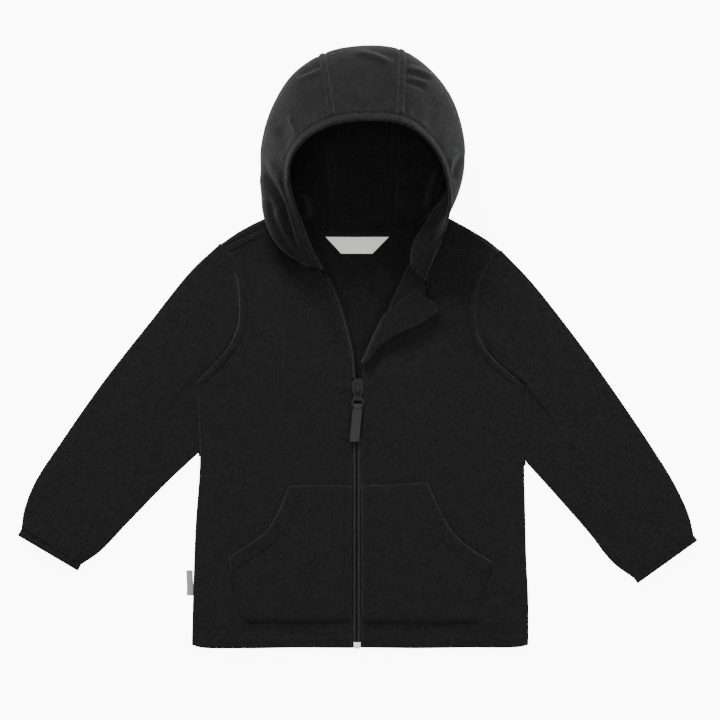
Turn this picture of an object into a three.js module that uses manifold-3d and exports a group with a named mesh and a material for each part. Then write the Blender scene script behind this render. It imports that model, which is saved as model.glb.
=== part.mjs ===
// A toddler's hooded fleece jacket, lying on its back. Millimetres, X across, Y from hem to hood, Z up.
// X = 0 is near the zip, Y = 0 is the hem and Z = 0 is the surface that the back panel lies on.
import * as THREE from 'three';
import { mergeVertices } from 'three/addons/utils/BufferGeometryUtils.js';
import Module from 'manifold-3d';

const wasm = await Module();
wasm.setup();

// Driving dimensions.
const CLOTH = 1.8; // one layer of fleece
const SEAM = 0.3; // gap between neighbouring pieces
const LOFT = 7.4; // height of the laid body and sleeves
const SIDE_TOP = 2 * CLOTH + SEAM; // height of the front panel at its side seam
const EASE = 16; // distance over which a panel rises from its edge
const HEM_RISE = 0.36; // share of that rise left at the hem, where the zip's end lies between the layers
const ZIP_X = -0.5; // middle of the closed zip
const ZIP_HALF = 5; // from the middle of the zip to each front edge
const COIL = { near: 0.8, far: 4.8, low: 0.1, high: 2, stop: 2 };
const TAPE = { inside: 9, thick: 0.8, edge: 4.6, beside: 0.2 };
const GUARD = { foot: 6, inside: 21, opens: 290, full: 345, from: 284, top: 4, thick: 1.4, gap: 1.6 };
const SLIDER = { x: 0.3, low: 252, high: 268, half: 5.8, core: 3.8 };
const TURN_RADIUS = 3.2; // roll of the turned-back front edge
const BIND = 9; // width of the band round the hood opening
const BIND_CLEAR = 1.6; // more room beside the band where the hood turns sharply at its front ends
const BAND = 7.5; // depth of the cuff bands

const FABRIC = { color: 0x1c1c1e, roughness: 0.95, metalness: 0 };
const fleece = new THREE.MeshStandardMaterial({ name: 'fleece', ...FABRIC });
const tapeCloth = new THREE.MeshStandardMaterial({ name: 'tape', color: 0x141416, roughness: 0.8 });
const nylon = new THREE.MeshStandardMaterial({ name: 'nylon', color: 0x202024, roughness: 0.4 });
const metal = new THREE.MeshStandardMaterial({
  name: 'metal', color: 0x3a3a3e, roughness: 0.35, metalness: 0.8,
});
const pale = new THREE.MeshStandardMaterial({
  name: 'retainer', color: 0xb4b6ba, roughness: 0.3, metalness: 0.9,
});
const rubber = new THREE.MeshStandardMaterial({ name: 'rubber', color: 0x242426, roughness: 0.5 });
const satin = new THREE.MeshStandardMaterial({ name: 'satin', color: 0xe6e6e2, roughness: 0.45 });
const woven = new THREE.MeshStandardMaterial({ name: 'woven', color: 0x8c8c8e, roughness: 0.75 });

// --- helpers -------------------------------------------------------------------------------------

const mix = (a, b, t) => a + (b - a) * t;
const steps = (count) => Array.from({ length: count + 1 }, (_, k) => k / count);
const smooth = (low, high, x) => THREE.MathUtils.smoothstep(x, low, high);
const flat = ([x, y]) => new THREE.Vector3(x, y, 0);

// One edge of a patch: legs that meet at corners, each taking its share of the edge's length in t.
function edge(...legs) {
  const whole = legs.reduce((sum, leg) => sum + (leg.share ?? 1), 0);
  let start = 0;
  const spans = legs.map((leg) => {
    const curve = new THREE.CatmullRomCurve3(leg.through.map(flat), false, 'centripetal');
    const span = { curve, start, end: start + (leg.share ?? 1) / whole };
    start = span.end;
    return span;
  });
  return (t) => {
    const span = spans.find((s) => t <= s.end + 1e-9) ?? spans.at(-1);
    const local = THREE.MathUtils.clamp((t - span.start) / (span.end - span.start), 0, 1);
    return span.curve.getPointAt(local);
  };
}

// A Coons patch: the plan of a panel from its four edges.
function patch({ bottom, top, left, right }) {
  const corner = [bottom(0), bottom(1), top(0), top(1)];
  return (u, v) => {
    const point = new THREE.Vector3();
    point.addScaledVector(bottom(u), 1 - v).addScaledVector(top(u), v);
    point.addScaledVector(left(v), 1 - u).addScaledVector(right(v), u);
    point.addScaledVector(corner[0], -(1 - u) * (1 - v)).addScaledVector(corner[1], -u * (1 - v));
    return point.addScaledVector(corner[2], -(1 - u) * v).addScaledVector(corner[3], -u * v);
  };
}

// Points of a surface at even steps; closed surfaces leave out the column that repeats the first.
function gridOf(surface, across, along, closed = false) {
  const columns = closed ? across : across + 1;
  return Array.from({ length: along + 1 }, (_, j) =>
    Array.from({ length: columns }, (_, i) => surface(i / across, j / along)));
}

// A closed solid between two grids of the same size, with its faces pointing out.
function between(faceA, faceB, closed = false) {
  const rows = faceA.length;
  const columns = faceA[0].length;
  const points = [...faceA.flat(), ...faceB.flat()];
  const at = (side, j, i) => side * rows * columns + j * columns + (i % columns);
  const faces = [];
  const quad = (a, b, c, d) => faces.push(a, b, c, a, c, d);
  const cells = closed ? columns : columns - 1;
  for (let j = 0; j < rows - 1; j += 1) {
    for (let i = 0; i < cells; i += 1) {
      quad(at(0, j, i), at(0, j, i + 1), at(0, j + 1, i + 1), at(0, j + 1, i));
      quad(at(1, j, i), at(1, j + 1, i), at(1, j + 1, i + 1), at(1, j, i + 1));
    }
  }
  for (let i = 0; i < cells; i += 1) {
    quad(at(0, 0, i), at(1, 0, i), at(1, 0, i + 1), at(0, 0, i + 1));
    quad(at(0, rows - 1, i), at(0, rows - 1, i + 1), at(1, rows - 1, i + 1), at(1, rows - 1, i));
  }
  if (!closed) {
    for (let j = 0; j < rows - 1; j += 1) {
      quad(at(0, j, 0), at(0, j + 1, 0), at(1, j + 1, 0), at(1, j, 0));
      const last = columns - 1;
      quad(at(0, j, last), at(1, j, last), at(1, j + 1, last), at(0, j + 1, last));
    }
  }
  const geometry = new THREE.BufferGeometry().setFromPoints(points);
  geometry.setIndex(volume(points, faces) < 0 ? faces.reverse() : faces);
  return geometry;
}

function volume(points, faces) {
  let sum = 0;
  for (let k = 0; k < faces.length; k += 3) {
    const [a, b, c] = [points[faces[k]], points[faces[k + 1]], points[faces[k + 2]]];
    sum += a.dot(b.clone().cross(c));
  }
  return sum / 6;
}

// The unit normal of a surface, from small steps to each side.
function normalOf(surface, u, v, step = 0.004) {
  const [u0, u1] = [Math.max(0, u - step), Math.min(1, u + step)];
  const [v0, v1] = [Math.max(0, v - step), Math.min(1, v + step)];
  const along = surface(u, v1).sub(surface(u, v0));
  return surface(u1, v).sub(surface(u0, v)).cross(along).normalize();
}

function toManifold(geometry) {
  const bare = geometry.clone();
  const extra = Object.keys(bare.attributes).filter((name) => name !== 'position');
  extra.forEach((name) => bare.deleteAttribute(name));
  const merged = mergeVertices(bare, 1e-4);
  return new wasm.Manifold(new wasm.Mesh({
    numProp: 3,
    vertProperties: new Float32Array(merged.attributes.position.array),
    triVerts: new Uint32Array(merged.index.array),
  }));
}

function fromManifold(solid) {
  const mesh = solid.getMesh();
  const geometry = new THREE.BufferGeometry();
  geometry.setAttribute('position', new THREE.BufferAttribute(Float32Array.from(mesh.vertProperties), 3));
  geometry.setIndex([...mesh.triVerts]);
  return geometry;
}

const join = (...parts) => fromManifold(parts.map(toManifold).reduce((a, b) => a.add(b)));

function block(width, length, height, x, y, z) {
  return new THREE.BoxGeometry(width, length, height).translate(x, y, z);
}

function plate(outline, low, high, holes = []) {
  const ring = (points) => points.map(([x, y]) => new THREE.Vector2(x, y));
  const outside = ring(outline);
  const shape = new THREE.Shape(THREE.ShapeUtils.isClockWise(outside) ? outside.reverse() : outside);
  shape.holes = holes.map((hole) => new THREE.Path(ring(hole)));
  return new THREE.ExtrudeGeometry(shape, { depth: high - low, bevelEnabled: false }).translate(0, 0, low);
}

const jacket = new THREE.Group();
jacket.name = 'jacket';

function add(name, geometry, material) {
  const mesh = new THREE.Mesh(geometry, material);
  mesh.name = name;
  jacket.add(mesh);
  return mesh;
}

// --- the body's outline ---------------------------------------------------------------------------

// Each side of the body from hem to shoulder. The armhole ends at the forward shoulder seam.
const SIDES = {
  right: {
    sign: -1,
    hem: [[-164.5, 3], [-156, 0.4], [-110, -0.4], [-60, 0.3], [ZIP_X - ZIP_HALF, 0]],
    side: [[-164.5, 3], [-163, 60], [-160.5, 125], [-156.5, 180], [-157, 225], [-159, 267]],
    armhole: [[-159, 267], [-141, 285], [-127, 302], [-118.5, 325], [-118, 351], [-122, 374],
      [-133, 392]],
    shoulder: [[-133, 392], [-113, 402], [-93, 411], [-84, 415.5]],
    fold: [[-135.5, 402.5], [-117, 415], [-98, 425], [-87, 429.5]],
    neck: [[-84, 415.5], [-73, 404], [-65, 391], [-55, 381], [-38, 376]],
    zip: [[-5.5, 262], [-7.5, 290], [-14, 318], [-21, 342], [-29, 361], [-38, 376]],
  },
  left: {
    sign: 1,
    hem: [[170, 3], [161, 0.9], [110, 0.4], [60, -0.3], [ZIP_X + ZIP_HALF, 0.4]],
    side: [[170, 3], [170, 45], [168, 90], [167, 130], [166, 180], [167, 220], [168, 261]],
    armhole: [[168, 261], [157, 270], [142, 282], [127, 299], [119, 319], [118, 341], [123, 366],
      [137, 391]],
    shoulder: [[137, 391], [117, 404], [97, 414], [88, 417.5]],
    fold: [[142.5, 395.5], [131, 405], [115, 415], [97, 425], [90, 428.5]],
    neck: [[88, 417.5], [75, 404], [65, 391], [54, 381]],
    zip: [[4.5, 262], [4.5, 271]],
  },
};
// The turn line of the left front, from above the slider to the neck seam, and the part beyond it.
const TURN = { from: [4.5, 271], to: [54, 381] };
const TURNED = {
  neck: [[54, 381], [45, 383], [34, 383.5], [22, 381], [13.5, 375]],
  zip: [[4.5, 271], [7.5, 290], [12, 312], [16, 336], [16.5, 356], [13.5, 375]],
};
const BACK_NECK = [[-84, 415.5], [-62, 419], [-45, 416], [-26, 412.4], [2, 411], [33, 412.4], [52, 416],
  [70, 419.5], [88, 417.5]];

const TURN_OUT = flat(TURN.to).sub(flat(TURN.from)).normalize().cross(new THREE.Vector3(0, 0, -1));

// A point of the left front, lifted by rise and rolled over the turn line where it lies beyond it.
function turned(point, base, rise) {
  const beyond = point.clone().sub(flat(TURN.from)).dot(TURN_OUT);
  if (beyond <= 0) return new THREE.Vector3(point.x, point.y, base + rise);
  const angle = Math.min(beyond / TURN_RADIUS, Math.PI);
  const over = beyond - angle * TURN_RADIUS;
  const reach = (TURN_RADIUS - rise) * Math.sin(angle) - over;
  const height = base + TURN_RADIUS - (TURN_RADIUS - rise) * Math.cos(angle);
  const foot = point.clone().addScaledVector(TURN_OUT, reach - beyond);
  return new THREE.Vector3(foot.x, foot.y, height);
}

// Long soft folds of the body and sleeves: lift is the height of a ridge, or below zero of a trough.
const FOLDS = [
  { from: [92, 330], to: [150, 292], width: 15, lift: 1.4 },
  { from: [40, 288], to: [104, 322], width: 12, lift: -1.3 },
  { from: [-56, 372], to: [-20, 290], width: 9, lift: -1.4 },
  { from: [-104, 330], to: [-70, 250], width: 16, lift: 0.8 },
  { from: [150, 385], to: [172, 240], width: 12, lift: -1.4 },
  { from: [-160, 215], to: [-176, 250], width: 7, lift: -1.1 },
  { from: [236, 102], to: [262, 120], width: 5, lift: -1 },
  { from: [-190, 300], to: [-250, 200], width: 16, lift: 0.7 },
];

function foldLift(x, y) {
  const here = new THREE.Vector3(x, y, 0);
  return FOLDS.reduce((sum, { from, to, width, lift }) => {
    const line = new THREE.Line3(flat(from), flat(to));
    const t = line.closestPointToPointParameter(here, false);
    const off = line.at(THREE.MathUtils.clamp(t, 0, 1), new THREE.Vector3()).distanceTo(here);
    const along = smooth(-0.25, 0.2, t) * (1 - smooth(0.8, 1.25, t)); // each fold fades at both ends
    return sum + lift * Math.exp(-((off / width) ** 2)) * along;
  }, 0);
}

// --- front and back -------------------------------------------------------------------------------

const SHARES = { side: 11, armhole: 9, shoulder: 5, neck: 7 };

function frontPlan(part) {
  const front = ZIP_X + part.sign * ZIP_HALF;
  const turn = part === SIDES.left ? [{ through: [TURN.from, TURN.to], share: 7 }] : [];
  const open = { through: part.zip, share: part === SIDES.left ? 1 : 8 };
  return patch({
    bottom: edge({ through: part.hem }),
    left: edge(
      { through: part.side, share: SHARES.side },
      { through: part.armhole, share: SHARES.armhole },
    ),
    right: edge({ through: [[front, 0], [front, 131], part.zip[0]], share: 12 }, open, ...turn),
    top: edge(
      { through: part.shoulder, share: SHARES.shoulder },
      { through: part.neck, share: SHARES.neck },
    ),
  });
}

// Height of a front panel's underside where it is clear of its edges.
const openBase = (x, y) => LOFT - CLOTH + foldLift(x, y);

// How far a front panel has risen to its full height, at a distance from the hem.
const hemRise = (y) => mix(HEM_RISE, 1, 1 - Math.exp(-Math.max(y, 0) / EASE));

// Up the armhole the edge of a front rises from the side seam's height to the sleeve's.
const UNDERARM_RISE = { from: 250, to: 296 };

// Underside of a front panel: low at the side seam and hem, full between.
function frontBase(plan, u, v) {
  const here = plan(u, v);
  const fromSide = here.distanceTo(plan(0, v));
  const low = mix(SIDE_TOP, LOFT - SEAM, smooth(UNDERARM_RISE.from, UNDERARM_RISE.to, here.y)) - CLOTH;
  return mix(low, openBase(here.x, here.y), (1 - Math.exp(-fromSide / EASE)) * hemRise(here.y));
}

const FRONT_GRID = { across: 15, along: 20 };
function frontSolid(part) {
  const plan = frontPlan(part);
  const layer = (rise) => gridOf((u, v) => {
    const here = plan(u, v);
    return here.setZ(frontBase(plan, u, v) + rise);
  }, FRONT_GRID.across, FRONT_GRID.along);
  return between(layer(CLOTH), layer(0));
}

// The turned-back part of the left front, with close columns round the roll.
const TURN_TIP = [5.4, 274];
const turnedPlan = patch({
  bottom: edge({ through: [TURN.from, TURN_TIP] }),
  left: edge({ through: [TURN.from, TURN.to] }),
  right: edge({ through: [TURN_TIP, ...TURNED.zip.slice(1)] }),
  top: edge({ through: TURNED.neck }),
});

// The first half of its columns lie in the quarter of its width that rolls over. A column of its own
// reaches back into the flat part of the front, so that the two join.
const ROLL = { columns: 0.5, width: 0.24 };
const TURNED_GRID = { across: 12, along: 10 };
const JOIN_OVERLAP = 1.5;
const rollSpacing = (u) => (u < ROLL.columns
  ? ROLL.width * u / ROLL.columns
  : mix(ROLL.width, 1, (u - ROLL.columns) / (1 - ROLL.columns)));

function turnedSolid() {
  const columns = TURNED_GRID.across;
  const layer = (rise) => gridOf((u, v) => {
    const here = turnedPlan(rollSpacing(Math.max(0, (u * (columns + 1) - 1) / columns)), v);
    if (u === 0) here.addScaledVector(TURN_OUT, -JOIN_OVERLAP);
    return turned(here, openBase(here.x, here.y), rise);
  }, columns + 1, TURNED_GRID.along);
  return between(layer(CLOTH), layer(0));
}
add('front_right', frontSolid(SIDES.right), fleece);
add('front_left', join(frontSolid(SIDES.left), turnedSolid()), fleece);

// The back wraps over each shoulder to the forward seam: a C-shaped strip round the fold. Its lower leg
// draws in a little, so that it lies within the panel that it joins.
const WRAP_GRID = { across: 6, along: 16 };
const WRAP_DRAW_IN = 0.97;
function shoulderWrap(part) {
  const foldLine = edge({ through: part.fold });
  const seamLine = edge({ through: part.shoulder });
  const wall = (radius) => gridOf((u, v) => {
    const fold = foldLine(u);
    const seam = seamLine(u);
    const out = fold.clone().sub(seam).normalize();
    const centre = fold.clone().addScaledVector(out, -LOFT / 2);
    const run = seam.distanceTo(centre);
    const around = v * (2 * run + JOIN_OVERLAP + Math.PI * LOFT / 2) - JOIN_OVERLAP;
    if (around <= run) {
      const point = seam.clone().addScaledVector(out, around);
      return point.setZ(LOFT / 2 - radius);
    }
    const angle = Math.min((around - run) / (LOFT / 2), Math.PI);
    const back = Math.max(0, around - run - Math.PI * LOFT / 2);
    const point = centre.clone().addScaledVector(out, radius * Math.sin(angle) - back * WRAP_DRAW_IN);
    return point.setZ(LOFT / 2 - radius * Math.cos(angle));
  }, WRAP_GRID.across, WRAP_GRID.along);
  return between(wall(LOFT / 2), wall(LOFT / 2 - CLOTH));
}

const BACK_GRID = { across: 18, along: 12 };
function backPanel() {
  const plan = patch({
    bottom: edge({ through: SIDES.right.hem }, { through: [...SIDES.left.hem].reverse() }),
    left: edge({ through: SIDES.right.side, share: 5 }, { through: SIDES.right.armhole, share: 7 }),
    right: edge({ through: SIDES.left.side, share: 5 }, { through: SIDES.left.armhole, share: 7 }),
    top: edge(
      { through: SIDES.right.shoulder, share: 4 },
      { through: BACK_NECK, share: 10 },
      { through: [...SIDES.left.shoulder].reverse(), share: 4 },
    ),
  });
  const layer = (height) => gridOf((u, v) => plan(u, v).setZ(height), BACK_GRID.across, BACK_GRID.along);
  const panel = between(layer(CLOTH), layer(0));
  add('back', join(panel, shoulderWrap(SIDES.right), shoulderWrap(SIDES.left)), fleece);
}
backPanel();

// --- sleeves and cuffs ----------------------------------------------------------------------------

// Upper and lower edges of each sleeve from shoulder and side to cuff, and the two ends of its cuff band.
const SLEEVES = {
  right: {
    body: SIDES.right,
    upper: [[-166, 375], [-206, 325], [-253, 265], [-295, 205], [-321, 165], [-332, 137],
      [-334.8, 118.2]],
    lower: [[-189, 165], [-228, 125], [-257, 95], [-274.6, 82.8]],
    meets: [-156.6, 194],
    wrist: [[-338.3, 112], [-278.2, 76.6]],
  },
  left: {
    body: SIDES.left,
    upper: [[173, 365], [205, 325], [235, 285], [263, 245], [290, 205], [315, 165], [330, 133],
      [335.2, 112.2]],
    lower: [[195, 155], [230, 115], [254, 85], [275, 69.2]],
    meets: [167.4, 184],
    wrist: [[339, 107], [279, 64]],
  },
};
const ARMHOLE_GAP = 1.4;
const SLEEVE_GRID = { around: 28, along: 12, corner: 9 }; // the underarm corner lies on the ninth column
const CUFF_ROWS = 2;
const across = (u) => (1 - Math.cos(2 * Math.PI * u)) / 2;

// Near the underarm the rows of a sleeve are eased away from the corner of the body.
const UNDERARM = { push: 4.5, across: 0.6, width: 0.13, along: 0.09, away: [0.63, 0.77] };
// Below the underarm a sleeve lies lower, because its edge is tucked beneath the front.
const TUCK = { from: 0.66, to: 0.82, start: 0.02, end: 0.24 };
const SLEEVE_TOP = LOFT - 0.2;
const SLEEVE_FLOOR = CLOTH + 0.2; // the upper layer lies on the lower one
const LOWER_ROUND = 1.3; // the underside turns up to its edges more sharply than the top turns down

// The plan of a sleeve: its open end follows the armhole, then the side of the body to where they part.
function sleevePlan({ body, upper, lower, meets }) {
  const clear = ([x, y]) => [x + body.sign * ARMHOLE_GAP, y + ARMHOLE_GAP / 2];
  const top = clear(body.fold[0]);
  const along = body.side.filter(([, y]) => y > meets[1]).reverse();
  const underarm = across(SLEEVE_GRID.corner / SLEEVE_GRID.around);
  const plan = patch({
    bottom: edge(
      { through: [top, ...[...body.armhole].reverse().map(clear)], share: underarm },
      { through: [...along, meets].map(clear), share: 1 - underarm },
    ),
    top: edge({ through: [upper.at(-1), lower.at(-1)] }),
    left: edge({ through: [top, ...upper] }),
    right: edge({ through: [clear(meets), ...lower] }),
  });
  const away = new THREE.Vector3(body.sign * UNDERARM.away[0], UNDERARM.away[1], 0);
  return (u, v) => {
    const near = Math.exp(-(((u - UNDERARM.across) / UNDERARM.width) ** 2));
    const early = (v / UNDERARM.along) * Math.exp(1 - v / UNDERARM.along);
    return plan(u, v).addScaledVector(away, UNDERARM.push * near * early);
  };
}

// Height of a flattened sleeve: a flat underside, full in the middle and rounded at its two edges.
function sleeveSection(angle, top) {
  const round = Math.sqrt(Math.abs(Math.sin(angle)));
  if (Math.sin(angle) >= 0) return top / 2 * (1 + round);
  return top / 2 * (1 - Math.min(1, LOWER_ROUND * round));
}

const SLEEVE_EDGE = 0.05; // share of the section that is edge, where both walls meet
function sleeve(name, part) {
  const plan = sleevePlan(part);
  const outer = (u, v) => {
    const side = Math.sin(2 * Math.PI * u);
    const here = plan(across(u), v);
    const tucked = smooth(TUCK.from, TUCK.to, across(u)) * (1 - smooth(TUCK.start, TUCK.end, v));
    const top = SLEEVE_TOP - (LOFT - SIDE_TOP - SEAM) * tucked;
    const lift = side > 0 ? foldLift(here.x, here.y) * side ** 2 * (1 - tucked) : 0;
    return here.setZ(sleeveSection(2 * Math.PI * u, top) + lift);
  };
  const inner = (u, v) => {
    const side = Math.sin(2 * Math.PI * u);
    const inset = CLOTH / plan(0, v).distanceTo(plan(1, v));
    const here = plan(mix(inset, 1 - inset, across(u)), v);
    const wall = outer(u, v).z;
    if (Math.abs(side) < SLEEVE_EDGE) return here.setZ(wall);
    const [floor, ceiling] = [SLEEVE_FLOOR, LOFT / 2 - SEAM];
    return here.setZ(side > 0 ? Math.max(wall - CLOTH, floor) : Math.min(wall + CLOTH, ceiling));
  };
  const layer = (surface) => gridOf(surface, SLEEVE_GRID.around, SLEEVE_GRID.along, true);
  add(name, between(layer(outer), layer(inner), true), fleece);
}
sleeve('sleeve_right', SLEEVES.right);
sleeve('sleeve_left', SLEEVES.left);

// A cuff band: a short flattened tube beyond the end of the sleeve.
const CUFF_TOP = LOFT - 0.6;
function cuff(name, { upper, lower, wrist }) {
  const near = edge({ through: [upper.at(-1), lower.at(-1)] });
  const far = edge({ through: wrist });
  const start = 2 * SEAM / BAND;
  const width = near(0).distanceTo(near(1));
  const tube = (inset) => (u, v) => {
    const place = mix(inset / width, 1 - inset / width, across(u));
    const level = sleeveSection(2 * Math.PI * u, CUFF_TOP);
    const fromMiddle = CUFF_TOP / 2 - level;
    const toMiddle = Math.sign(fromMiddle) * Math.min(inset, Math.abs(fromMiddle));
    return near(place).lerp(far(place), mix(start, 1, v)).setZ(level + toMiddle);
  };
  const layer = (inset) => gridOf(tube(inset), SLEEVE_GRID.around, CUFF_ROWS, true);
  add(name, between(layer(0), layer(CLOTH), true), fleece);
}
cuff('cuff_right', SLEEVES.right);
cuff('cuff_left', SLEEVES.left);

// --- pockets --------------------------------------------------------------------------------------

const POCKETS = {
  right: {
    side: SIDES.right,
    bottom: [[-112, 26.5], [-60, 26], [-6, 26.5]],
    outside: [[-112, 26.5], [-119.5, 50], [-125, 74], [-128, 90]],
    opening: [[-128, 90], [-103, 106.5], [-91, 116], [-78, 136.5], [-68, 161]],
    top: [[-68, 161], [-40, 161.4], [-6, 161]],
    zip: [[-6, 26.5], [-6, 161]],
  },
  left: {
    side: SIDES.left,
    bottom: [[121, 26], [60, 25.4], [5, 25.8]],
    outside: [[121, 26], [127, 63], [135, 85]],
    opening: [[135, 85], [112, 99.5], [95, 115], [82.5, 136.5], [69.7, 164.6]],
    top: [[69.7, 164.6], [40, 162.4], [5, 161.4]],
    zip: [[5, 25.8], [5, 161.4]],
  },
};

const POCKET_GAP = 0.45; // the coarser faces of the two layers need a little more than a seam's gap
const POCKET_GRID = { across: 9, along: 8 };
function pocket(name, part) {
  const plan = patch({
    bottom: edge({ through: part.bottom }),
    left: edge({ through: part.outside, share: 3 }, { through: part.opening, share: 5 }),
    right: edge({ through: part.zip }),
    top: edge({ through: part.top }),
  });
  const layer = (rise) => gridOf((u, v) => {
    const here = plan(u, v);
    const side = Math.abs(part.side.side[1][0] - here.x);
    const rising = (1 - Math.exp(-side / EASE)) * hemRise(here.y);
    const panel = mix(SIDE_TOP, LOFT + foldLift(here.x, here.y), rising);
    return here.setZ(panel + POCKET_GAP + rise);
  }, POCKET_GRID.across, POCKET_GRID.along);
  add(name, between(layer(CLOTH), layer(0)), fleece);
}
pocket('pocket_right', POCKETS.right);
pocket('pocket_left', POCKETS.left);

// --- hood -----------------------------------------------------------------------------------------

// Stations round the hood from its right front end, over the crown, to its left front end. Each is a line
// from the edge of the opening (rim), over the widest place (side), to the lowest (rest) and the neck seam.
// At its left front end the hood folds inward: there the side lies inside the rim.
const HOOD = [
  { rim: [-35, 377, 11], side: [-43, 379, 13], rest: [-50, 380, 11], neck: [-57, 382, 8.6] },
  { rim: [-41, 388, 22], side: [-64, 388, 22], rest: [-71, 394, 12.5], neck: [-64.5, 396, 8.6] },
  { rim: [-47, 400, 34], side: [-78, 401, 28], rest: [-84, 409, 13], neck: [-70, 406, 8.6] },
  { rim: [-56, 424, 55], side: [-91, 426, 34], rest: [-91, 436, 10.5], neck: [-75, 421, 8.8] },
  { rim: [-64, 446, 71], side: [-95, 452, 38], rest: [-88, 456, 0], neck: [-64, 424, 0] },
  { rim: [-68, 466, 83], side: [-96, 474, 42], rest: [-86, 474, 0], neck: [-55, 422, 0] },
  { rim: [-66, 485, 92], side: [-95, 502, 46], rest: [-83, 494, 0], neck: [-45, 419, 0] },
  { rim: [-55, 502, 100], side: [-84, 539, 50], rest: [-70, 524, 0], neck: [-36, 416.4, 0] },
  { rim: [-42, 512, 105], side: [-64, 570, 53], rest: [-52, 550, 0], neck: [-30, 414.6, 0] },
  { rim: [-27, 519, 109], side: [-34, 590, 55], rest: [-30, 567, 0], neck: [-26, 413.8, 0] },
  { rim: [8, 524, 113], side: [6, 598, 57], rest: [4, 574, 0], neck: [3, 412.6, 0] },
  { rim: [44, 521, 110], side: [43, 594, 56], rest: [38, 569, 0], neck: [32, 413.8, 0] },
  { rim: [58, 514, 106], side: [70, 577, 53], rest: [60, 552, 0], neck: [37, 415, 0] },
  { rim: [74, 499, 100], side: [92, 550, 50], rest: [79, 530, 0], neck: [44, 417.5, 0] },
  { rim: [86, 478, 92], side: [105, 514, 46], rest: [93, 500, 0], neck: [54, 420, 0] },
  { rim: [91, 458, 82], side: [107, 482, 42], rest: [97, 478, 0], neck: [62, 422.5, 0] },
  { rim: [92, 441, 70], side: [100, 450, 42], rest: [92, 453, 8], neck: [70, 427, 5] },
  { rim: [89, 421, 56], side: [86, 426, 40], rest: [72, 427, 22], neck: [73, 422, 9.5] },
  { rim: [82, 402, 41], side: [70, 404, 36], rest: [58, 405, 24], neck: [69, 407, 9.5] },
  { rim: [75, 387, 29], side: [64, 389, 27], rest: [54.5, 390, 18], neck: [60, 394, 10.5] },
  { rim: [67, 374, 18], side: [63, 378, 19], rest: [57, 382, 17], neck: [52, 386, 13.5] },
];
const CROWN_SEAMS = [9 / 20, 11 / 20]; // where the centre panel of the hood begins and ends

const hoodRails = ['rim', 'side', 'rest', 'neck'].map((column) =>
  new THREE.CatmullRomCurve3(HOOD.map((row) => new THREE.Vector3(...row[column])), false, 'centripetal'));

// The outer surface of the hood: u runs round the opening, v from its edge to the neck seam.
const HOOD_STEPS = 80; // steps by which the length of a line over the hood is measured
const lineCache = new Map();
function hoodLine(station) {
  const u = THREE.MathUtils.clamp(station, 0, 1);
  if (!lineCache.has(u)) {
    const stops = hoodRails.map((rail) => rail.getPoint(u));
    const line = new THREE.CatmullRomCurve3(stops, false, 'centripetal');
    line.arcLengthDivisions = HOOD_STEPS;
    lineCache.set(u, line);
  }
  return lineCache.get(u);
}
function hoodSurface(u, v) {
  const point = hoodLine(u).getPointAt(THREE.MathUtils.clamp(v, 0, 1));
  return point.setZ(Math.max(point.z, 0));
}

// A stretch of the hood's wall between two stations, from a distance below the rim to the neck. The gap
// at a crown seam is shared by its two panels, and is no wider where the stations draw together.
const HOOD_SIDE_GRID = { across: 16, along: 18 };
const CROWN_GRID = { across: 6, along: 18 };
const SEAM_HALF = CLOTH / 3;
const NARROWEST = 60; // millimetres of cloth in one whole turn of stations, at the least
const HOOD_END = 0.2; // share of the stations, at each front end, over which the hood turns sharply
function hoodPanel(name, from, to, size) {
  const step = 0.002;
  const station = (u, v) => {
    const place = mix(from, to, u);
    const span = hoodSurface(place - step, v).distanceTo(hoodSurface(place + step, v)) / (2 * step);
    const inset = SEAM_HALF / Math.max(span, NARROWEST);
    return mix(from > 0 ? from + inset : from, to < 1 ? to - inset : to, u);
  };
  const sharp = (u) => 1 - smooth(0, HOOD_END, u) + smooth(1 - HOOD_END, 1, u);
  const start = (u) => (BIND + SEAM + BIND_CLEAR * sharp(u)) / hoodLine(u).getLength();
  const outer = (u, v) => {
    const place = station(u, v);
    return hoodSurface(place, mix(start(place), 1, v));
  };
  const inner = (u, v) => {
    const place = station(u, v);
    const along = mix(start(place), 1, v);
    return outer(u, v).addScaledVector(normalOf(hoodSurface, place, along), -CLOTH);
  };
  const layer = (surface) => gridOf(surface, size.across, size.along);
  add(name, between(layer(outer), layer(inner)), fleece);
}
hoodPanel('hood_right', 0, CROWN_SEAMS[0], HOOD_SIDE_GRID);
hoodPanel('hood_centre', CROWN_SEAMS[0], CROWN_SEAMS[1], CROWN_GRID);
hoodPanel('hood_left', CROWN_SEAMS[1], 1, HOOD_SIDE_GRID);

// The band round the opening carries the hood's wall on to its edge, a little thicker than the wall.
const BIND_PROUD = 0.6;
const BIND_GRID = { across: 44, along: 2 };
function binding() {
  const face = (proud) => gridOf((u, v) => {
    const along = v * BIND / hoodLine(u).getLength();
    return hoodSurface(u, along).addScaledVector(normalOf(hoodSurface, u, along), proud);
  }, BIND_GRID.across, BIND_GRID.along);
  add('hood_binding', between(face(BIND_PROUD), face(-CLOTH - BIND_PROUD)), fleece);
}
binding();

// --- zip ------------------------------------------------------------------------------------------

// The free edge of a front from hem to neck, and a strip that follows it at two distances from it.
const ZIP_START = 6.4; // the first tooth lies this far above the hem, clear of the retainer
function openEdge(part) {
  const front = ZIP_X + part.sign * ZIP_HALF;
  const above = part === SIDES.left ? [part.zip[0], ...TURNED.zip] : part.zip;
  return [
    new THREE.LineCurve3(flat([front, 0]), flat(above[0])),
    new THREE.CatmullRomCurve3(above.map(flat), false, 'centripetal'),
  ];
}

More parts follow.
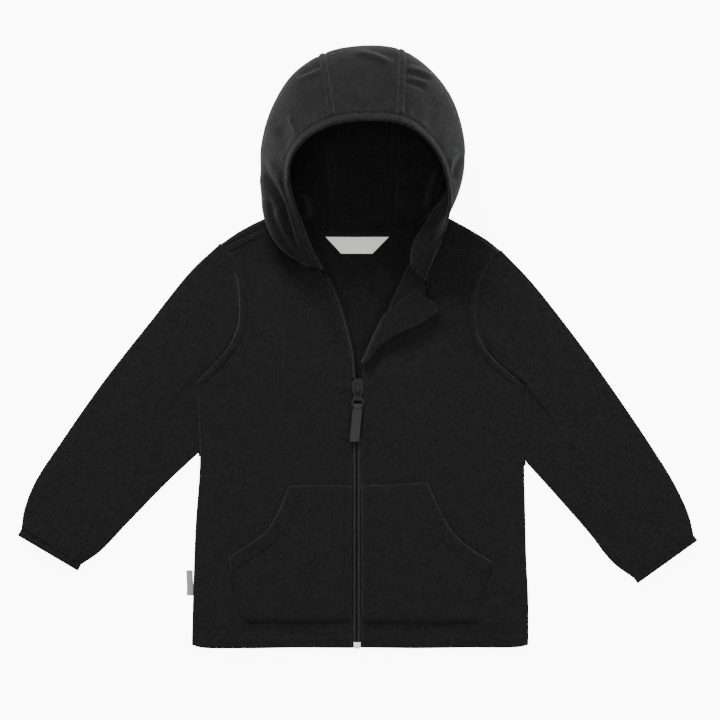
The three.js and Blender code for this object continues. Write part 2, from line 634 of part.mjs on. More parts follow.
function strip(part, { reach, low, high, from, to, rows, columns = 1 }) {
  const [closed, open] = openEdge(part);
  const length = open.getLength();
  const at = (y) => {
    const curve = y < part.zip[0][1] ? closed : open;
    const t = curve === closed ? y / part.zip[0][1] : Math.min(1, (y - part.zip[0][1]) / length);
    const side = curve.getTangentAt(t).cross(new THREE.Vector3(0, 0, -part.sign));
    return { point: curve.getPointAt(t), side };
  };
  const layer = (rise) => rows.map((row) => {
    const y = mix(from, to, row);
    return steps(columns).map((column) => {
      const { point, side } = at(y);
      point.addScaledVector(side, mix(...reach(y), column));
      const base = mix(SIDE_TOP - CLOTH, openBase(point.x, point.y), hemRise(point.y));
      return part === SIDES.left ? turned(point, base, rise) : point.setZ(base + rise);
    });
  });
  return between(layer(high), layer(low));
}

const coil = { reach: () => [COIL.near, COIL.far], low: COIL.low, high: COIL.high };
const ZIP_TOP = 376; // distance along the edge to the top of the zip
const openTop = SLIDER.high + 1;
const closedTop = SLIDER.low - 0.5;
const TAPE_STEP = 0.4; // length over which a tape draws in beside the slider
const CLOSED_STOPS = [60, 125, 190];
const OPEN_ROWS = 12;

// Each tape draws in beside the slider. Above it, the left half of the zip is hidden behind the guard.
function tapeRows(top) {
  const inward = [closedTop - TAPE_STEP, closedTop, openTop, openTop + TAPE_STEP];
  const stops = [ZIP_START, ...CLOSED_STOPS, ...inward];
  const upper = steps(OPEN_ROWS).slice(1).map((t) => mix(openTop + TAPE_STEP, ZIP_TOP, t));
  return [...stops, ...upper].filter((y) => y <= top).map((y) => (y - ZIP_START) / (top - ZIP_START));
}
const tapeReach = (y) => [-TAPE.inside, y < closedTop || y > openTop ? TAPE.edge : TAPE.beside];
const HEM_ROWS = [0, 0.05, 0.12, 0.25, 0.5, 0.75, 1]; // close where the zip rises from the hem
for (const [name, part] of Object.entries(SIDES)) {
  const top = part === SIDES.right ? ZIP_TOP : openTop;
  const whole = { from: ZIP_START, to: top, rows: tapeRows(top) };
  const tape = { reach: tapeReach, low: -SEAM - TAPE.thick, high: -SEAM };
  add(`zip_tape_${name}`, strip(part, { ...tape, ...whole }), tapeCloth);
  const shut = { from: ZIP_START, to: closedTop, rows: HEM_ROWS };
  add(`zip_coil_${name}`, strip(part, { ...coil, ...shut }), nylon);
}
const open = { from: openTop, to: ZIP_TOP - COIL.stop, rows: steps(OPEN_ROWS + 2) };
add('zip_coil_open', strip(SIDES.right, { ...coil, ...open }), nylon);

// The guard strip covers the inside of the zip; it shows where the left front turns back.
const GUARD_GRID = { across: 10, along: 16 };
const guardReach = (y) => [-mix(GUARD.foot, GUARD.inside, smooth(GUARD.opens, GUARD.full, y)), COIL.far];
add('zip_guard', strip(SIDES.left, {
  reach: guardReach,
  low: -GUARD.gap - GUARD.thick,
  high: -GUARD.gap,
  from: GUARD.from,
  to: ZIP_TOP - GUARD.top,
  rows: steps(GUARD_GRID.along),
  columns: GUARD_GRID.across,
}), fleece);

// The retainer box joins both tapes at the hem; its two pins run up between the tapes.
const RETAINER = { x: ZIP_X + 0.3, y: 2.2, width: 6.6, length: 6.4, low: 2.3, high: 6.6 };
const RIDGE = { width: 4.6, length: 1.4, height: 0.8, sunk: 0.2 };
function retainer() {
  const { x, y, width, length, low, high } = RETAINER;
  const box = block(width, length, high - low, x, y, (low + high) / 2);
  const ridge = block(RIDGE.width, RIDGE.length, RIDGE.height, x, y, high + RIDGE.sunk);
  return join(box, ridge);
}
add('zip_retainer', retainer(), pale);

// The slider: two plates joined by a post, with a bridge on top for the pull.
const PIVOT = { y: 257.2, z: 10.6 };
const PLATES = { upper: [7.95, 9.35], lower: [2.9, 4.1], corner: 1.4, nose: 2.4, tail: 3, head: 4 };
const POST = { width: 2.4, length: 5, height: 4.6, z: 6 };
const BRIDGE = {
  half: 1.5,
  outline: [[254.2, 9], [261.8, 9], [261.8, 12.4], [261, 13.2], [255, 13.2], [254.2, 12.4]],
  eye: [[255.8, 9.4], [260.2, 9.4], [260.2, 12], [255.8, 12]],
};
function slider() {
  const { x, low, high, half, core } = SLIDER;
  const { corner, nose, tail, head } = PLATES;
  const body = (reach, inset, [bottom, top]) => plate([
    [x - reach + corner, low],
    [x + reach - corner, low],
    [x + reach, low + tail],
    [x + reach, high - head],
    [x + reach - nose, high - inset],
    [x - reach + nose, high - inset],
    [x - reach, high - head],
    [x - reach, low + tail],
  ], bottom, top);
  const post = block(POST.width, POST.length, POST.height, x, high - head, POST.z);
  const bridge = plate(BRIDGE.outline, -BRIDGE.half, BRIDGE.half, [BRIDGE.eye]);
  const upright = new THREE.Matrix4().set(0, 0, 1, x, 1, 0, 0, 0, 0, 1, 0, 0, 0, 0, 0, 1);
  bridge.applyMatrix4(upright);
  return join(body(half, 0, PLATES.upper), body(core, SEAM, PLATES.lower), post, bridge);
}
add('zip_slider', slider(), metal);

// The pull swings about the link's cross-bar. In the group, the bar is the origin and the pull runs
// along -Y.
const pull = new THREE.Group();
pull.position.set(SLIDER.x, PIVOT.y, PIVOT.z);
jacket.add(pull);

const LINK = {
  thick: 1.2,
  outline: [[-3.4, 0.6], [3.4, 0.6], [3.8, -6], [6.1, -11], [6.1, -16.4], [5.1, -17.4], [-5.1, -17.4],
    [-6.1, -16.4], [-6.1, -11], [-3.8, -6]],
  eye: [[-2.2, -0.6], [2.2, -0.6], [2.2, -5.8], [-2.2, -5.8]],
  slot: [[-4.1, -11.2], [4.1, -11.2], [4.1, -15.4], [-4.1, -15.4]],
};
const link = () => plate(LINK.outline, -LINK.thick / 2, LINK.thick / 2, [LINK.eye, LINK.slot]);

// The tab's strap loops round the link's lower bar and runs on as one thicker blade that leans to the
// side. The strap is drawn from its side, and the blade from above.
const TAB = {
  half: 4.7, start: 18.4, end: 52, corner: 1, thick: 1.8, lean: 0.1, strapHalf: 3.8,
  strap: [[14.2, -1.7], [17.8, -1.7], [20, -0.9], [24, -0.9], [24, 0.9], [20, 0.9], [17.8, 1.7],
    [14.2, 1.7]],
  loop: [[15, -0.95], [17.75, -0.95], [17.75, 0.95], [15, 0.95]],
};
function tab() {
  const { half, start, end, corner, thick } = TAB;
  const strap = plate(TAB.strap, -TAB.strapHalf, TAB.strapHalf, [TAB.loop]);
  strap.applyMatrix4(new THREE.Matrix4().set(0, 0, -1, 0, -1, 0, 0, 0, 0, 1, 0, 0, 0, 0, 0, 1));
  const blade = plate([
    [half - corner, -start],
    [corner - half, -start],
    [-half, -start - corner],
    [-half, corner - end],
    [corner - half, -end],
    [half - corner, -end],
    [half, corner - end],
    [half, -start - corner],
  ], -thick / 2, thick / 2);
  const whole = join(strap, blade);
  const places = whole.attributes.position;
  for (let k = 0; k < places.count; k += 1) {
    const past = Math.max(0, -places.getY(k) - start);
    places.setX(k, places.getX(k) - TAB.lean * past);
  }
  return whole;
}
const pullParts = [['zip_pull', link(), metal], ['pull_tab', tab(), rubber]];
for (const [name, geometry, material] of pullParts) {
  const mesh = new THREE.Mesh(geometry, material);
  mesh.name = name;
  pull.add(mesh);
}

// --- neck tape and labels -------------------------------------------------------------------------

const NECK_TAPE = { from: -44, to: 56, below: 1.2, above: 6.8, thick: 0.8, steps: 30 };
function neckTape() {
  const line = new THREE.CatmullRomCurve3(BACK_NECK.map(flat), false, 'centripetal');
  const points = line.getSpacedPoints(NECK_TAPE.steps);
  const kept = points.filter((p) => p.x > NECK_TAPE.from && p.x < NECK_TAPE.to);
  const layer = (height) => kept.map((p) => [
    new THREE.Vector3(p.x, p.y - NECK_TAPE.below, height),
    new THREE.Vector3(p.x, p.y + NECK_TAPE.above, height),
  ]);
  const low = CLOTH + SEAM;
  return between(layer(low + NECK_TAPE.thick), layer(low));
}
add('neck_tape', neckTape(), fleece);

const LABEL = { thick: 0.5, outline: [[-31.5, 409.2], [31.5, 409.2], [15, 392.5], [-16, 392.5]] };
add('neck_label', plate(LABEL.outline, CLOTH + SEAM, CLOTH + SEAM + LABEL.thick), satin);

const TAG = { width: 6.2, length: 25, thick: 0.8, x: -166.9, y: 64.5 };
add('side_tag', block(TAG.width, TAG.length, TAG.thick, TAG.x, TAG.y, TAG.thick / 2), woven);

// The finished jacket stands with the middle of its lowest face at the origin.
const extent = new THREE.Box3().setFromObject(jacket);
const middle = extent.getCenter(new THREE.Vector3());
const laid = new THREE.Group();
laid.position.set(-middle.x, -middle.y, -extent.min.z);
laid.add(jacket);

export default laid;
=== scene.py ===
# %% [markdown]
# # A toddler's fleece jacket, laid flat
# The jacket lies on its back with its zip partly open, its left front turned back and its hood standing
# up. Its solids are already made and packed, so the script starts by loading them as a fixed frame.

import bpy
import numpy as np
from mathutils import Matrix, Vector
from mathutils.bvhtree import BVHTree


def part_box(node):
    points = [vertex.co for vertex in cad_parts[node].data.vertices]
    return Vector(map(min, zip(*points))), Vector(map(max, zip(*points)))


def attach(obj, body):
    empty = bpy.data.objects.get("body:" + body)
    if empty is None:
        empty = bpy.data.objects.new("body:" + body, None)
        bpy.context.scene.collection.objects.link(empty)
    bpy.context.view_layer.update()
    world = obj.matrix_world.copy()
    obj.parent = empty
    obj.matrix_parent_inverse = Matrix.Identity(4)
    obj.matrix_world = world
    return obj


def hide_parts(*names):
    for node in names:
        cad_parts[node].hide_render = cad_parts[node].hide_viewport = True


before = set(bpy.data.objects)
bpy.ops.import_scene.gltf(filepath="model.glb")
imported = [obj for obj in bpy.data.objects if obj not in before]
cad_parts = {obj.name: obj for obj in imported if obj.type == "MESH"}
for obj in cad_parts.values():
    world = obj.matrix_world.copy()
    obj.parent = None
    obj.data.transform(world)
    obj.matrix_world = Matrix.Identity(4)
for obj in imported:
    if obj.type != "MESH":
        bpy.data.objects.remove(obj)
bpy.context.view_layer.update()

MM = 0.001

# %% [markdown]
# ## Camera, floor and light
# A garment in a catalogue is shown from straight above. A very long lens, twelve metres up, keeps the
# hood, which stands nearest to it, from looking larger than it is. The floor is plain and pale, and glows
# white to the camera. The strongest of four soft panels stands low beyond the hood. Weaker ones at the
# side, at the hem and overhead fill what it leaves dark. Low, grazing light shows the nap and the seams.

# %% Camera, floor and light
CAMERA_HEIGHT = 12.0
FRAME_WIDTH = 0.7175
FRAME_CENTRE = (0.00235, -0.01226)
FLOOR_HALF, FLOOR_DROP = 6.0, 0.0004
FLOOR_GLOW, FLOOR_GLOW_SEEN = 0.5, 9.0
WORLD_LIGHT = 0.55
LIGHTS = [  # name, place, aimed at, width and length, watts
    ("light_crown", (-0.55, 2.1, 1.2), (0, 0.05, 0), (0.9, 0.6), 104),
    ("light_side", (1.9, 1.0, 1.4), (0, 0, 0), (1.0, 0.9), 30),
    ("light_hem", (-0.6, -1.9, 1.8), (0, -0.1, 0), (1.4, 1.2), 20),
    ("light_above", (0.1, 0.3, 3.2), (0, 0.12, 0), (0.9, 0.9), 30),
]


def new_object(name, data):
    obj = bpy.data.objects.new(name, data)
    bpy.context.scene.collection.objects.link(obj)
    return obj


def make_camera():
    data = bpy.data.cameras.new("camera")
    data.sensor_width = 36.0
    data.lens = data.sensor_width * CAMERA_HEIGHT / FRAME_WIDTH
    data.clip_start, data.clip_end = 0.1, 30.0
    camera = new_object("camera", data)
    camera.location = (*FRAME_CENTRE, CAMERA_HEIGHT)
    bpy.context.scene.camera = camera


def area_light(name, place, target, size, power):
    data = bpy.data.lights.new(name, "AREA")
    data.shape, data.size, data.size_y = "RECTANGLE", *size
    data.energy = power
    light = new_object(name, data)
    light.location = place
    aim = [t - p for t, p in zip(target, place)]
    light.rotation_euler = Vector(aim).to_track_quat("-Z", "Y").to_euler()


def make_floor():
    side = FLOOR_HALF
    corners = [(-side, -side, 0), (side, -side, 0), (side, side, 0), (-side, side, 0)]
    mesh = bpy.data.meshes.new("floor")
    mesh.from_pydata(corners, [], [(0, 1, 2, 3)])
    floor = new_object("floor", mesh)
    floor.location.z = -FLOOR_DROP
    material = bpy.data.materials.new("floor_paper")
    material.use_nodes = True
    tree = material.node_tree
    shader = tree.nodes["Principled BSDF"]
    shader.inputs["Base Color"].default_value = (0.92, 0.92, 0.92, 1)
    shader.inputs["Roughness"].default_value = 0.9
    shader.inputs["Emission Color"].default_value = (1, 1, 1, 1)
    path = tree.nodes.new("ShaderNodeLightPath")
    glow = tree.nodes.new("ShaderNodeMapRange")
    glow.inputs["To Min"].default_value = FLOOR_GLOW
    glow.inputs["To Max"].default_value = FLOOR_GLOW_SEEN
    tree.links.new(path.outputs["Is Camera Ray"], glow.inputs["Value"])
    tree.links.new(glow.outputs["Result"], shader.inputs["Emission Strength"])
    mesh.materials.append(material)


def make_world():
    world = bpy.data.worlds.new("studio")
    world.use_nodes = True
    sky = world.node_tree.nodes["Background"]
    sky.inputs["Color"].default_value = (1, 1, 1, 1)
    sky.inputs["Strength"].default_value = WORLD_LIGHT
    bpy.context.scene.world = world


make_camera()
make_floor()
for row in LIGHTS:
    area_light(*row)
make_world()
print("camera at", CAMERA_HEIGHT, "m, frame", FRAME_WIDTH, "m wide")

# %% [markdown]
# ## Tools for cloth
# Each cut piece is a patch between four edges. An edge is one or more smooth curves that meet at
# corners. A patch blends its four edges, which is how a flat piece of cloth fills its outline. A piece
# of cloth is then a thin closed shell: a face, a back, and a rounded rim that joins them.

# %% Curves and patches
def smooth(low, high, x):
    t = np.clip((np.asarray(x, float) - low) / (high - low), 0, 1)
    return t * t * (3 - 2 * t)


def mix(a, b, t):
    return a + (b - a) * t


class Curve:
    """A smooth curve through points, measured along its length."""

    def __init__(self, points, per_span=24):
        p = np.array([list(q) + [0.0] * (3 - len(q)) for q in points], float)
        if len(p) == 2:
            dense = np.linspace(p[0], p[1], per_span)
            self.spans = [dense]
        else:
            self.spans = self._centripetal(p, per_span)
            dense = np.concatenate([s[:-1] for s in self.spans] + [self.spans[-1][-1:]])
        self.dense = dense
        steps = np.linalg.norm(np.diff(dense, axis=0), axis=1)
        self.run = np.concatenate([[0], np.cumsum(steps)])
        self.length = self.run[-1]

    @staticmethod
    def _centripetal(p, count):
        ends = [2 * p[0] - p[1], *p, 2 * p[-1] - p[-2]]
        spans = []
        for a, b, c, d in zip(ends, ends[1:], ends[2:], ends[3:]):
            ta, tb, tc = (max(np.sum((y - x) ** 2) ** 0.25, 1e-4) for x, y in ((a, b), (b, c), (c, d)))
            start = ((b - a) / ta - (c - a) / (ta + tb) + (c - b) / tb) * tb
            end = ((c - b) / tb - (d - b) / (tb + tc) + (d - c) / tc) * tb
            t = np.linspace(0, 1, count)[:, None]
            spans.append(b + start * t + (3 * (c - b) - 2 * start - end) * t**2
                         + (2 * (b - c) + start + end) * t**3)
        return spans

    def at(self, t):
        """Places at shares t of the length."""
        run = np.clip(np.asarray(t, float), 0, 1) * self.length
        return np.stack([np.interp(run, self.run, self.dense[:, k]) for k in range(3)], axis=-1)

    def at_knots(self, t):
        """Places where t counts even steps from point to point."""
        t = np.clip(np.asarray(t, float), 0, 1) * len(self.spans)
        which = np.minimum(t.astype(int), len(self.spans) - 1)
        count = len(self.spans[0])
        table = np.stack(self.spans)
        local = (t - which) * (count - 1)
        low = np.minimum(local.astype(int), count - 2)
        part = (local - low)[..., None]
        return table[which, low] * (1 - part) + table[which, low + 1] * part


def edge(*legs):
    """An edge of a patch: (points, share) legs that meet at corners."""
    curves = [Curve(points) for points, _ in legs]
    ends = np.cumsum([share for _, share in legs]) / sum(share for _, share in legs)
    starts = np.concatenate([[0], ends[:-1]])

    def at(t):
        t = np.asarray(t, float)
        out = np.zeros(t.shape + (3,))
        leg = np.minimum(np.searchsorted(ends, t - 1e-9), len(curves) - 1)
        for k, curve in enumerate(curves):
            here = leg == k
            out[here] = curve.at((t[here] - starts[k]) / (ends[k] - starts[k]))
        return out

    return at


def patch(bottom, top, left, right):
    """The plan of a panel: u runs across it and v up it."""
    corner = [f(np.array([t]))[0] for f in (bottom, top) for t in (0.0, 1.0)]

    def at(u, v):
        u, v = np.broadcast_arrays(np.asarray(u, float), np.asarray(v, float))
        a, b = u[..., None], v[..., None]
        sides = bottom(u) * (1 - b) + top(u) * b + left(v) * (1 - a) + right(v) * a
        low = corner[0] * (1 - a) + corner[1] * a
        high = corner[2] * (1 - a) + corner[3] * a
        return sides - low * (1 - b) - high * b

    return at


def grid(across, along):
    """Even shares across and along, as two tables; each may be a count or a list of shares."""
    u = np.linspace(0, 1, across + 1) if np.isscalar(across) else np.asarray(across)
    v = np.linspace(0, 1, along + 1) if np.isscalar(along) else np.asarray(along)
    return np.meshgrid(u, v)


def distance_to(points, line):
    """How far each point is from a line of points, and the share of its length where it is nearest."""
    flat = points.reshape(-1, points.shape[-1])
    best = np.full(len(flat), 1e9)
    share = np.zeros(len(flat))
    lengths = np.linalg.norm(np.diff(line, axis=0), axis=1)
    run = np.concatenate([[0], np.cumsum(lengths)])
    for a, b, start, length in zip(line, line[1:], run, lengths):
        if length < 1e-9:
            continue
        t = np.clip((flat - a) @ (b - a) / length**2, 0, 1)
        gap = np.linalg.norm(flat - (a + t[:, None] * (b - a)), axis=1)
        nearer = gap < best
        best[nearer] = gap[nearer]
        share[nearer] = (start + t[nearer] * length) / run[-1]
    return best.reshape(points.shape[:-1]), share.reshape(points.shape[:-1])


def rounded(gap, radius):
    """How far a cloth edge has rolled down at a distance from it."""
    near = 1 - np.clip(gap / radius, 0, 1)
    return -radius * (1 - np.sqrt(1 - near**2))


def bell(x, width):
    return np.exp(-((x / width) ** 2))


print("a test curve is", round(Curve([(0, 0), (10, 5), (20, 0)]).length, 1), "mm long")

# %% [markdown]
# ## The jacket's outline
# The garment is drawn in its own pattern frame in millimetres: X = 0 is near the zip, Y = 0 is the hem.
# One known corner, that of the neck label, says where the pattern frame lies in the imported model.
# Each panel's edges follow the pattern from hem to shoulder.

# %% Outline tables
CLOTH, SEAM, LOFT, EASE, HEM_RISE = 1.8, 0.3, 7.4, 16.0, 0.36
SIDE_TOP = 2 * CLOTH + SEAM
ZIP_X, ZIP_HALF = -0.5, 5.0
TURN_RADIUS = 3.2
LABEL_CORNER = (-31.5, 392.5)
label_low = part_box("neck_label")[0]
ORIGIN = np.array([label_low[0] - LABEL_CORNER[0] * MM, label_low[1] - LABEL_CORNER[1] * MM, 0.0])

RIGHT = {
    "sign": -1,
    "hem": [(-164.5, 3), (-156, 0.4), (-110, -0.4), (-60, 0.3), (-5.5, 0)],
    "side": [(-164.5, 3), (-163, 60), (-160.5, 125), (-156.5, 180), (-157, 225), (-159, 267)],
    "armhole": [(-159, 267), (-141, 285), (-127, 302), (-118.5, 325), (-118, 351), (-122, 374),
                (-133, 392)],
    "shoulder": [(-133, 392), (-113, 402), (-93, 411), (-84, 415.5)],
    "fold": [(-135.5, 402.5), (-117, 415), (-98, 425), (-87, 429.5)],
    "neck": [(-84, 415.5), (-73, 404), (-65, 391), (-55, 381), (-38, 376)],
    "zip": [(-5.5, 262), (-7.5, 290), (-14, 318), (-21, 342), (-29, 361), (-38, 376)],
}
LEFT = {
    "sign": 1,
    "hem": [(170, 3), (161, 0.9), (110, 0.4), (60, -0.3), (4.5, 0.4)],
    "side": [(170, 3), (170, 45), (168, 90), (167, 130), (166, 180), (167, 220), (168, 261)],
    "armhole": [(168, 261), (157, 270), (142, 282), (127, 299), (119, 319), (118, 341), (123, 366),
                (137, 391)],
    "shoulder": [(137, 391), (117, 404), (97, 414), (88, 417.5)],
    "fold": [(142.5, 395.5), (131, 405), (115, 415), (97, 425), (90, 428.5)],
    "neck": [(88, 417.5), (75, 404), (65, 391), (54, 381)],
    "zip": [(4.5, 262), (4.5, 271)],
}
BACK_NECK = [(-84, 415.5), (-62, 419), (-45, 416), (-26, 412.4), (2, 411), (33, 412.4), (52, 416),
             (70, 419.5), (88, 417.5)]
TURN_FROM, TURN_TO = np.array([4.5, 271.0]), np.array([54.0, 381.0])
TURNED_NECK = [(54, 381), (45, 383), (34, 383.5), (22, 381), (13.5, 375)]
TURNED_ZIP = [(4.5, 271), (7.5, 290), (12, 312), (16, 336), (16.5, 356), (13.5, 375)]
turn_way = (TURN_TO - TURN_FROM) / np.linalg.norm(TURN_TO - TURN_FROM)
TURN_OUT = np.array([-turn_way[1], turn_way[0]])

SLEEVES = {
    "right": {
        "body": RIGHT,
        "upper": [(-166, 375), (-206, 325), (-253, 265), (-295, 205), (-321, 165), (-332, 137),
                  (-334.8, 118.2)],
        "lower": [(-189, 165), (-228, 125), (-257, 95), (-274.6, 82.8)],
        "meets": (-156.6, 194),
        "wrist": [(-338.3, 112), (-278.2, 76.6)],
    },
    "left": {
        "body": LEFT,
        "upper": [(173, 365), (205, 325), (235, 285), (263, 245), (290, 205), (315, 165), (330, 133),
                  (335.2, 112.2)],
        "lower": [(195, 155), (230, 115), (254, 85), (275, 69.2)],
        "meets": (167.4, 184),
        "wrist": [(339, 107), (279, 64)],
    },
}
POCKETS = {
    "right": {
        "side": -164.5,
        "bottom": [(-112, 26.5), (-60, 26), (-6, 26.5)],
        "outside": [(-112, 26.5), (-119.5, 50), (-125, 74), (-128, 90)],
        "opening": [(-128, 90), (-103, 106.5), (-91, 116), (-78, 136.5), (-68, 161)],
        "top": [(-68, 161), (-40, 161.4), (-6, 161)],
        "zip": [(-6, 26.5), (-6, 161)],
    },
    "left": {
        "side": 170,
        "bottom": [(121, 26), (60, 25.4), (5, 25.8)],
        "outside": [(121, 26), (127, 63), (135, 85)],
        "opening": [(135, 85), (112, 99.5), (95, 115), (82.5, 136.5), (69.7, 164.6)],
        "top": [(69.7, 164.6), (40, 162.4), (5, 161.4)],
        "zip": [(5, 25.8), (5, 161.4)],
    },
}
# Stations round the hood: the edge of the opening, the widest place, the lowest and the neck seam.
HOOD = [
    ((-35, 377, 11), (-43, 379, 13), (-50, 380, 11), (-57, 382, 8.6)),
    ((-41, 388, 22), (-64, 388, 22), (-71, 394, 12.5), (-64.5, 396, 8.6)),
    ((-47, 400, 34), (-78, 401, 28), (-84, 409, 13), (-70, 406, 8.6)),
    ((-56, 424, 55), (-91, 426, 34), (-91, 436, 10.5), (-75, 421, 8.8)),
    ((-64, 446, 71), (-95, 452, 38), (-88, 456, 0), (-64, 424, 0)),
    ((-68, 466, 83), (-96, 474, 42), (-86, 474, 0), (-55, 422, 0)),
    ((-66, 485, 92), (-95, 502, 46), (-83, 494, 0), (-45, 419, 0)),
    ((-55, 502, 100), (-84, 539, 50), (-70, 524, 0), (-36, 416.4, 0)),
    ((-42, 512, 105), (-64, 570, 53), (-52, 550, 0), (-30, 414.6, 0)),
    ((-21.5, 520.3, 109.8), (-32.5, 590.4, 55.3), (-30, 567, 0), (-26, 413.8, 0)),
    ((8, 524, 113), (6, 598, 57), (4, 574, 0), (3, 412.6, 0)),
    ((40, 521.8, 110.6), (42, 594.3, 56.2), (38, 569, 0), (32, 413.8, 0)),
    ((58, 514, 106), (70, 577, 53), (60, 552, 0), (37, 415, 0)),
    ((74, 499, 100), (92, 550, 50), (79, 530, 0), (44, 417.5, 0)),
    ((86, 478, 92), (105, 514, 46), (93, 500, 0), (54, 420, 0)),
    ((91, 458, 82), (107, 482, 42), (97, 478, 0), (62, 422.5, 0)),
    ((92, 441, 70), (100, 450, 42), (92, 453, 8), (70, 427, 5)),
    ((89, 421, 56), (86, 426, 40), (72, 427, 22), (73, 422, 9.5)),
    ((82, 402, 41), (70, 404, 36), (58, 405, 24), (69, 407, 9.5)),
    ((75, 387, 29), (64, 389, 27), (54.5, 390, 18), (60, 394, 10.5)),
    ((67, 367, 18.5), (62, 371, 19.5), (56, 376, 17.5), (51, 381, 14.5)),
]
CROWN_SEAMS = (9 / 20, 11 / 20)
BIND, BIND_CLEAR, BIND_PROUD, BIND_STITCH, BIND_LENGTH = 9.0, 1.6, 0.6, 7.6, 620
print("pattern origin at", [round(x, 5) for x in ORIGIN])

# %% [markdown]
# ## Folds, seams and stitch lines
# Laid cloth isn't level. Long soft folds run where the body was lifted by its shoulders, and short ones
# gather where a seam holds more cloth than its neighbour. Each fold is a line with its own width and
# height: above zero it is a ridge and below zero a trough. A seam shows as a padded ridge beside the
# join, and a line of stitching as a narrow groove that dips at every stitch.

# %% Relief tables
FOLDS = [  # from, to, width, lift: the large folds that the solids share
    ((92, 330), (150, 292), 15, 1.4), ((40, 288), (104, 322), 12, -1.3),
    ((-56, 372), (-20, 290), 9, -1.4), ((-104, 330), (-70, 250), 16, 0.8),
    ((150, 385), (172, 240), 12, -1.4), ((-160, 215), (-176, 250), 7, -1.1),
    ((236, 102), (262, 120), 5, -1), ((-190, 300), (-250, 200), 16, 0.7),
]
CREASES = [  # from, to, width, lift: smaller, softer ones
    ((-150, 232), (-96, 205), 7, 0.6), ((-152, 214), (-110, 196), 5, -0.5),
    ((-148, 250), (-112, 262), 6, -0.5), ((-24, 330), (-60, 250), 10, 0.5),
    ((-78, 240), (-40, 190), 12, -0.5), ((-120, 60), (-150, 140), 12, 0.4),
    ((30, 245), (70, 190), 12, 0.4), ((120, 240), (80, 190), 11, -0.5),
    ((150, 225), (112, 235), 7, -0.5), ((154, 245), (118, 262), 6, 0.5),
    ((100, 60), (150, 100), 14, -0.4), ((60, 215), (140, 200), 12, 0.4), ((24, 276), (60, 262), 8, 0.6),
    ((20, 262), (64, 244), 7, -0.5), ((-130, 20), (-60, 14), 6, -0.4), ((40, 14), (120, 22), 6, -0.4),
    ((-40, 40), (-90, 90), 14, 0.4), ((36, 100), (90, 60), 14, 0.4), ((243, 104), (264, 84), 4, 0.6),
    ((248, 112), (275, 98), 4, -0.7), ((256, 120), (286, 110), 5, 0.6),
    ((258, 134), (300, 122), 6, -0.5), ((-240, 115), (-275, 128), 6, -0.5),
    ((-250, 128), (-290, 150), 7, 0.5), ((-178, 330), (-205, 280), 9, -0.6),
    ((-168, 300), (-182, 268), 7, 0.5), ((-172, 205), (-196, 222), 5, 0.6),
    ((-170, 194), (-190, 204), 4, -0.6), ((176, 210), (200, 222), 5, -0.6),
    ((174, 196), (196, 200), 5, 0.5), ((186, 300), (220, 262), 8, 0.5),
    ((196, 240), (232, 212), 9, -0.5), ((-212, 240), (-244, 230), 8, 0.4),
    ((-150, 340), (-140, 300), 6, -0.6), ((152, 330), (146, 292), 6, 0.5),
    ((140, 320), (134, 352), 5, -0.4),
]


def fold_height(x, y, table):
    """The sum of every fold's height at places x, y."""
    total = np.zeros(np.shape(x))
    for start, end, width, lift in table:
        ax, ay = start
        dx, dy = end[0] - ax, end[1] - ay
        t = ((x - ax) * dx + (y - ay) * dy) / (dx * dx + dy * dy)
        near = np.clip(t, 0, 1)
        off = np.hypot(x - ax - near * dx, y - ay - near * dy)
        total += lift * bell(off, width) * smooth(-0.25, 0.2, t) * (1 - smooth(0.8, 1.25, t))
    return total


def line_of(points, count=160):
    return Curve(points).at(np.linspace(0, 1, count))[:, :2]


def shifted(line, by):
    """A line moved sideways by a distance, to its left as it runs."""
    way = np.gradient(line, axis=0)
    way /= np.linalg.norm(way, axis=1)[:, None]
    return line + by * np.stack([-way[:, 1], way[:, 0]], axis=1)


def ripple(x, y, size):
    """A slow uneven swell, the same on every run."""
    across = np.sin(x / size + 1.3 * np.sin(y / size * 0.7 + 0.4))
    along = np.cos(y / size * 1.1 + 0.9 * np.sin(x / size * 0.6))
    return (across * along + 0.5 * np.sin((x + y) / size * 1.7 + 2.0)) / 1.5


STITCH_PITCH = 3.0


def groove(points, line, depth, width):
    """A stitched line: a narrow trough that is deepest at each stitch."""
    gap, share = distance_to(points, line)
    length = np.sum(np.linalg.norm(np.diff(line, axis=0), axis=1))
    tuck = 0.75 + 0.25 * np.cos(2 * np.pi * share * length / STITCH_PITCH)
    return -1.6 * depth * tuck * bell(gap, 1.15 * width)


def welt(points, line, width, height):
    """A seam allowance under the cloth: a low flat ridge along a line, rounded on both sides."""
    gap, share = distance_to(points, line)
    ends = smooth(0, 0.02, share) * (1 - smooth(0.98, 1, share))
    return height * (1 - smooth(width * 0.35, width * 0.62, gap)) * (0.7 + 0.3 * ends)


print(len(FOLDS) + len(CREASES), "folds")

# %% [markdown]
# ## From surfaces to closed cloth
# A panel's face and its back are two grids of points. Joined by a slightly bulged middle ring they make
# one closed, rounded sheet. Every piece is told which body it moves with, which plain solid it stands for
# and which finish it has.

# %% Shells and pieces
PIECES = {}
CUT_SIZES = {}


def normals_of(points, closed=False):
    """Unit normals of a grid of points."""
    if closed:
        wide = np.concatenate([points[:, -1:], points, points[:, :1]], axis=1)
        du = wide[:, 2:] - wide[:, :-2]
    else:
        du = np.gradient(points, axis=1)
    dv = np.gradient(points, axis=0)
    out = np.cross(du, dv)
    return out / np.maximum(np.linalg.norm(out, axis=-1, keepdims=True), 1e-9)


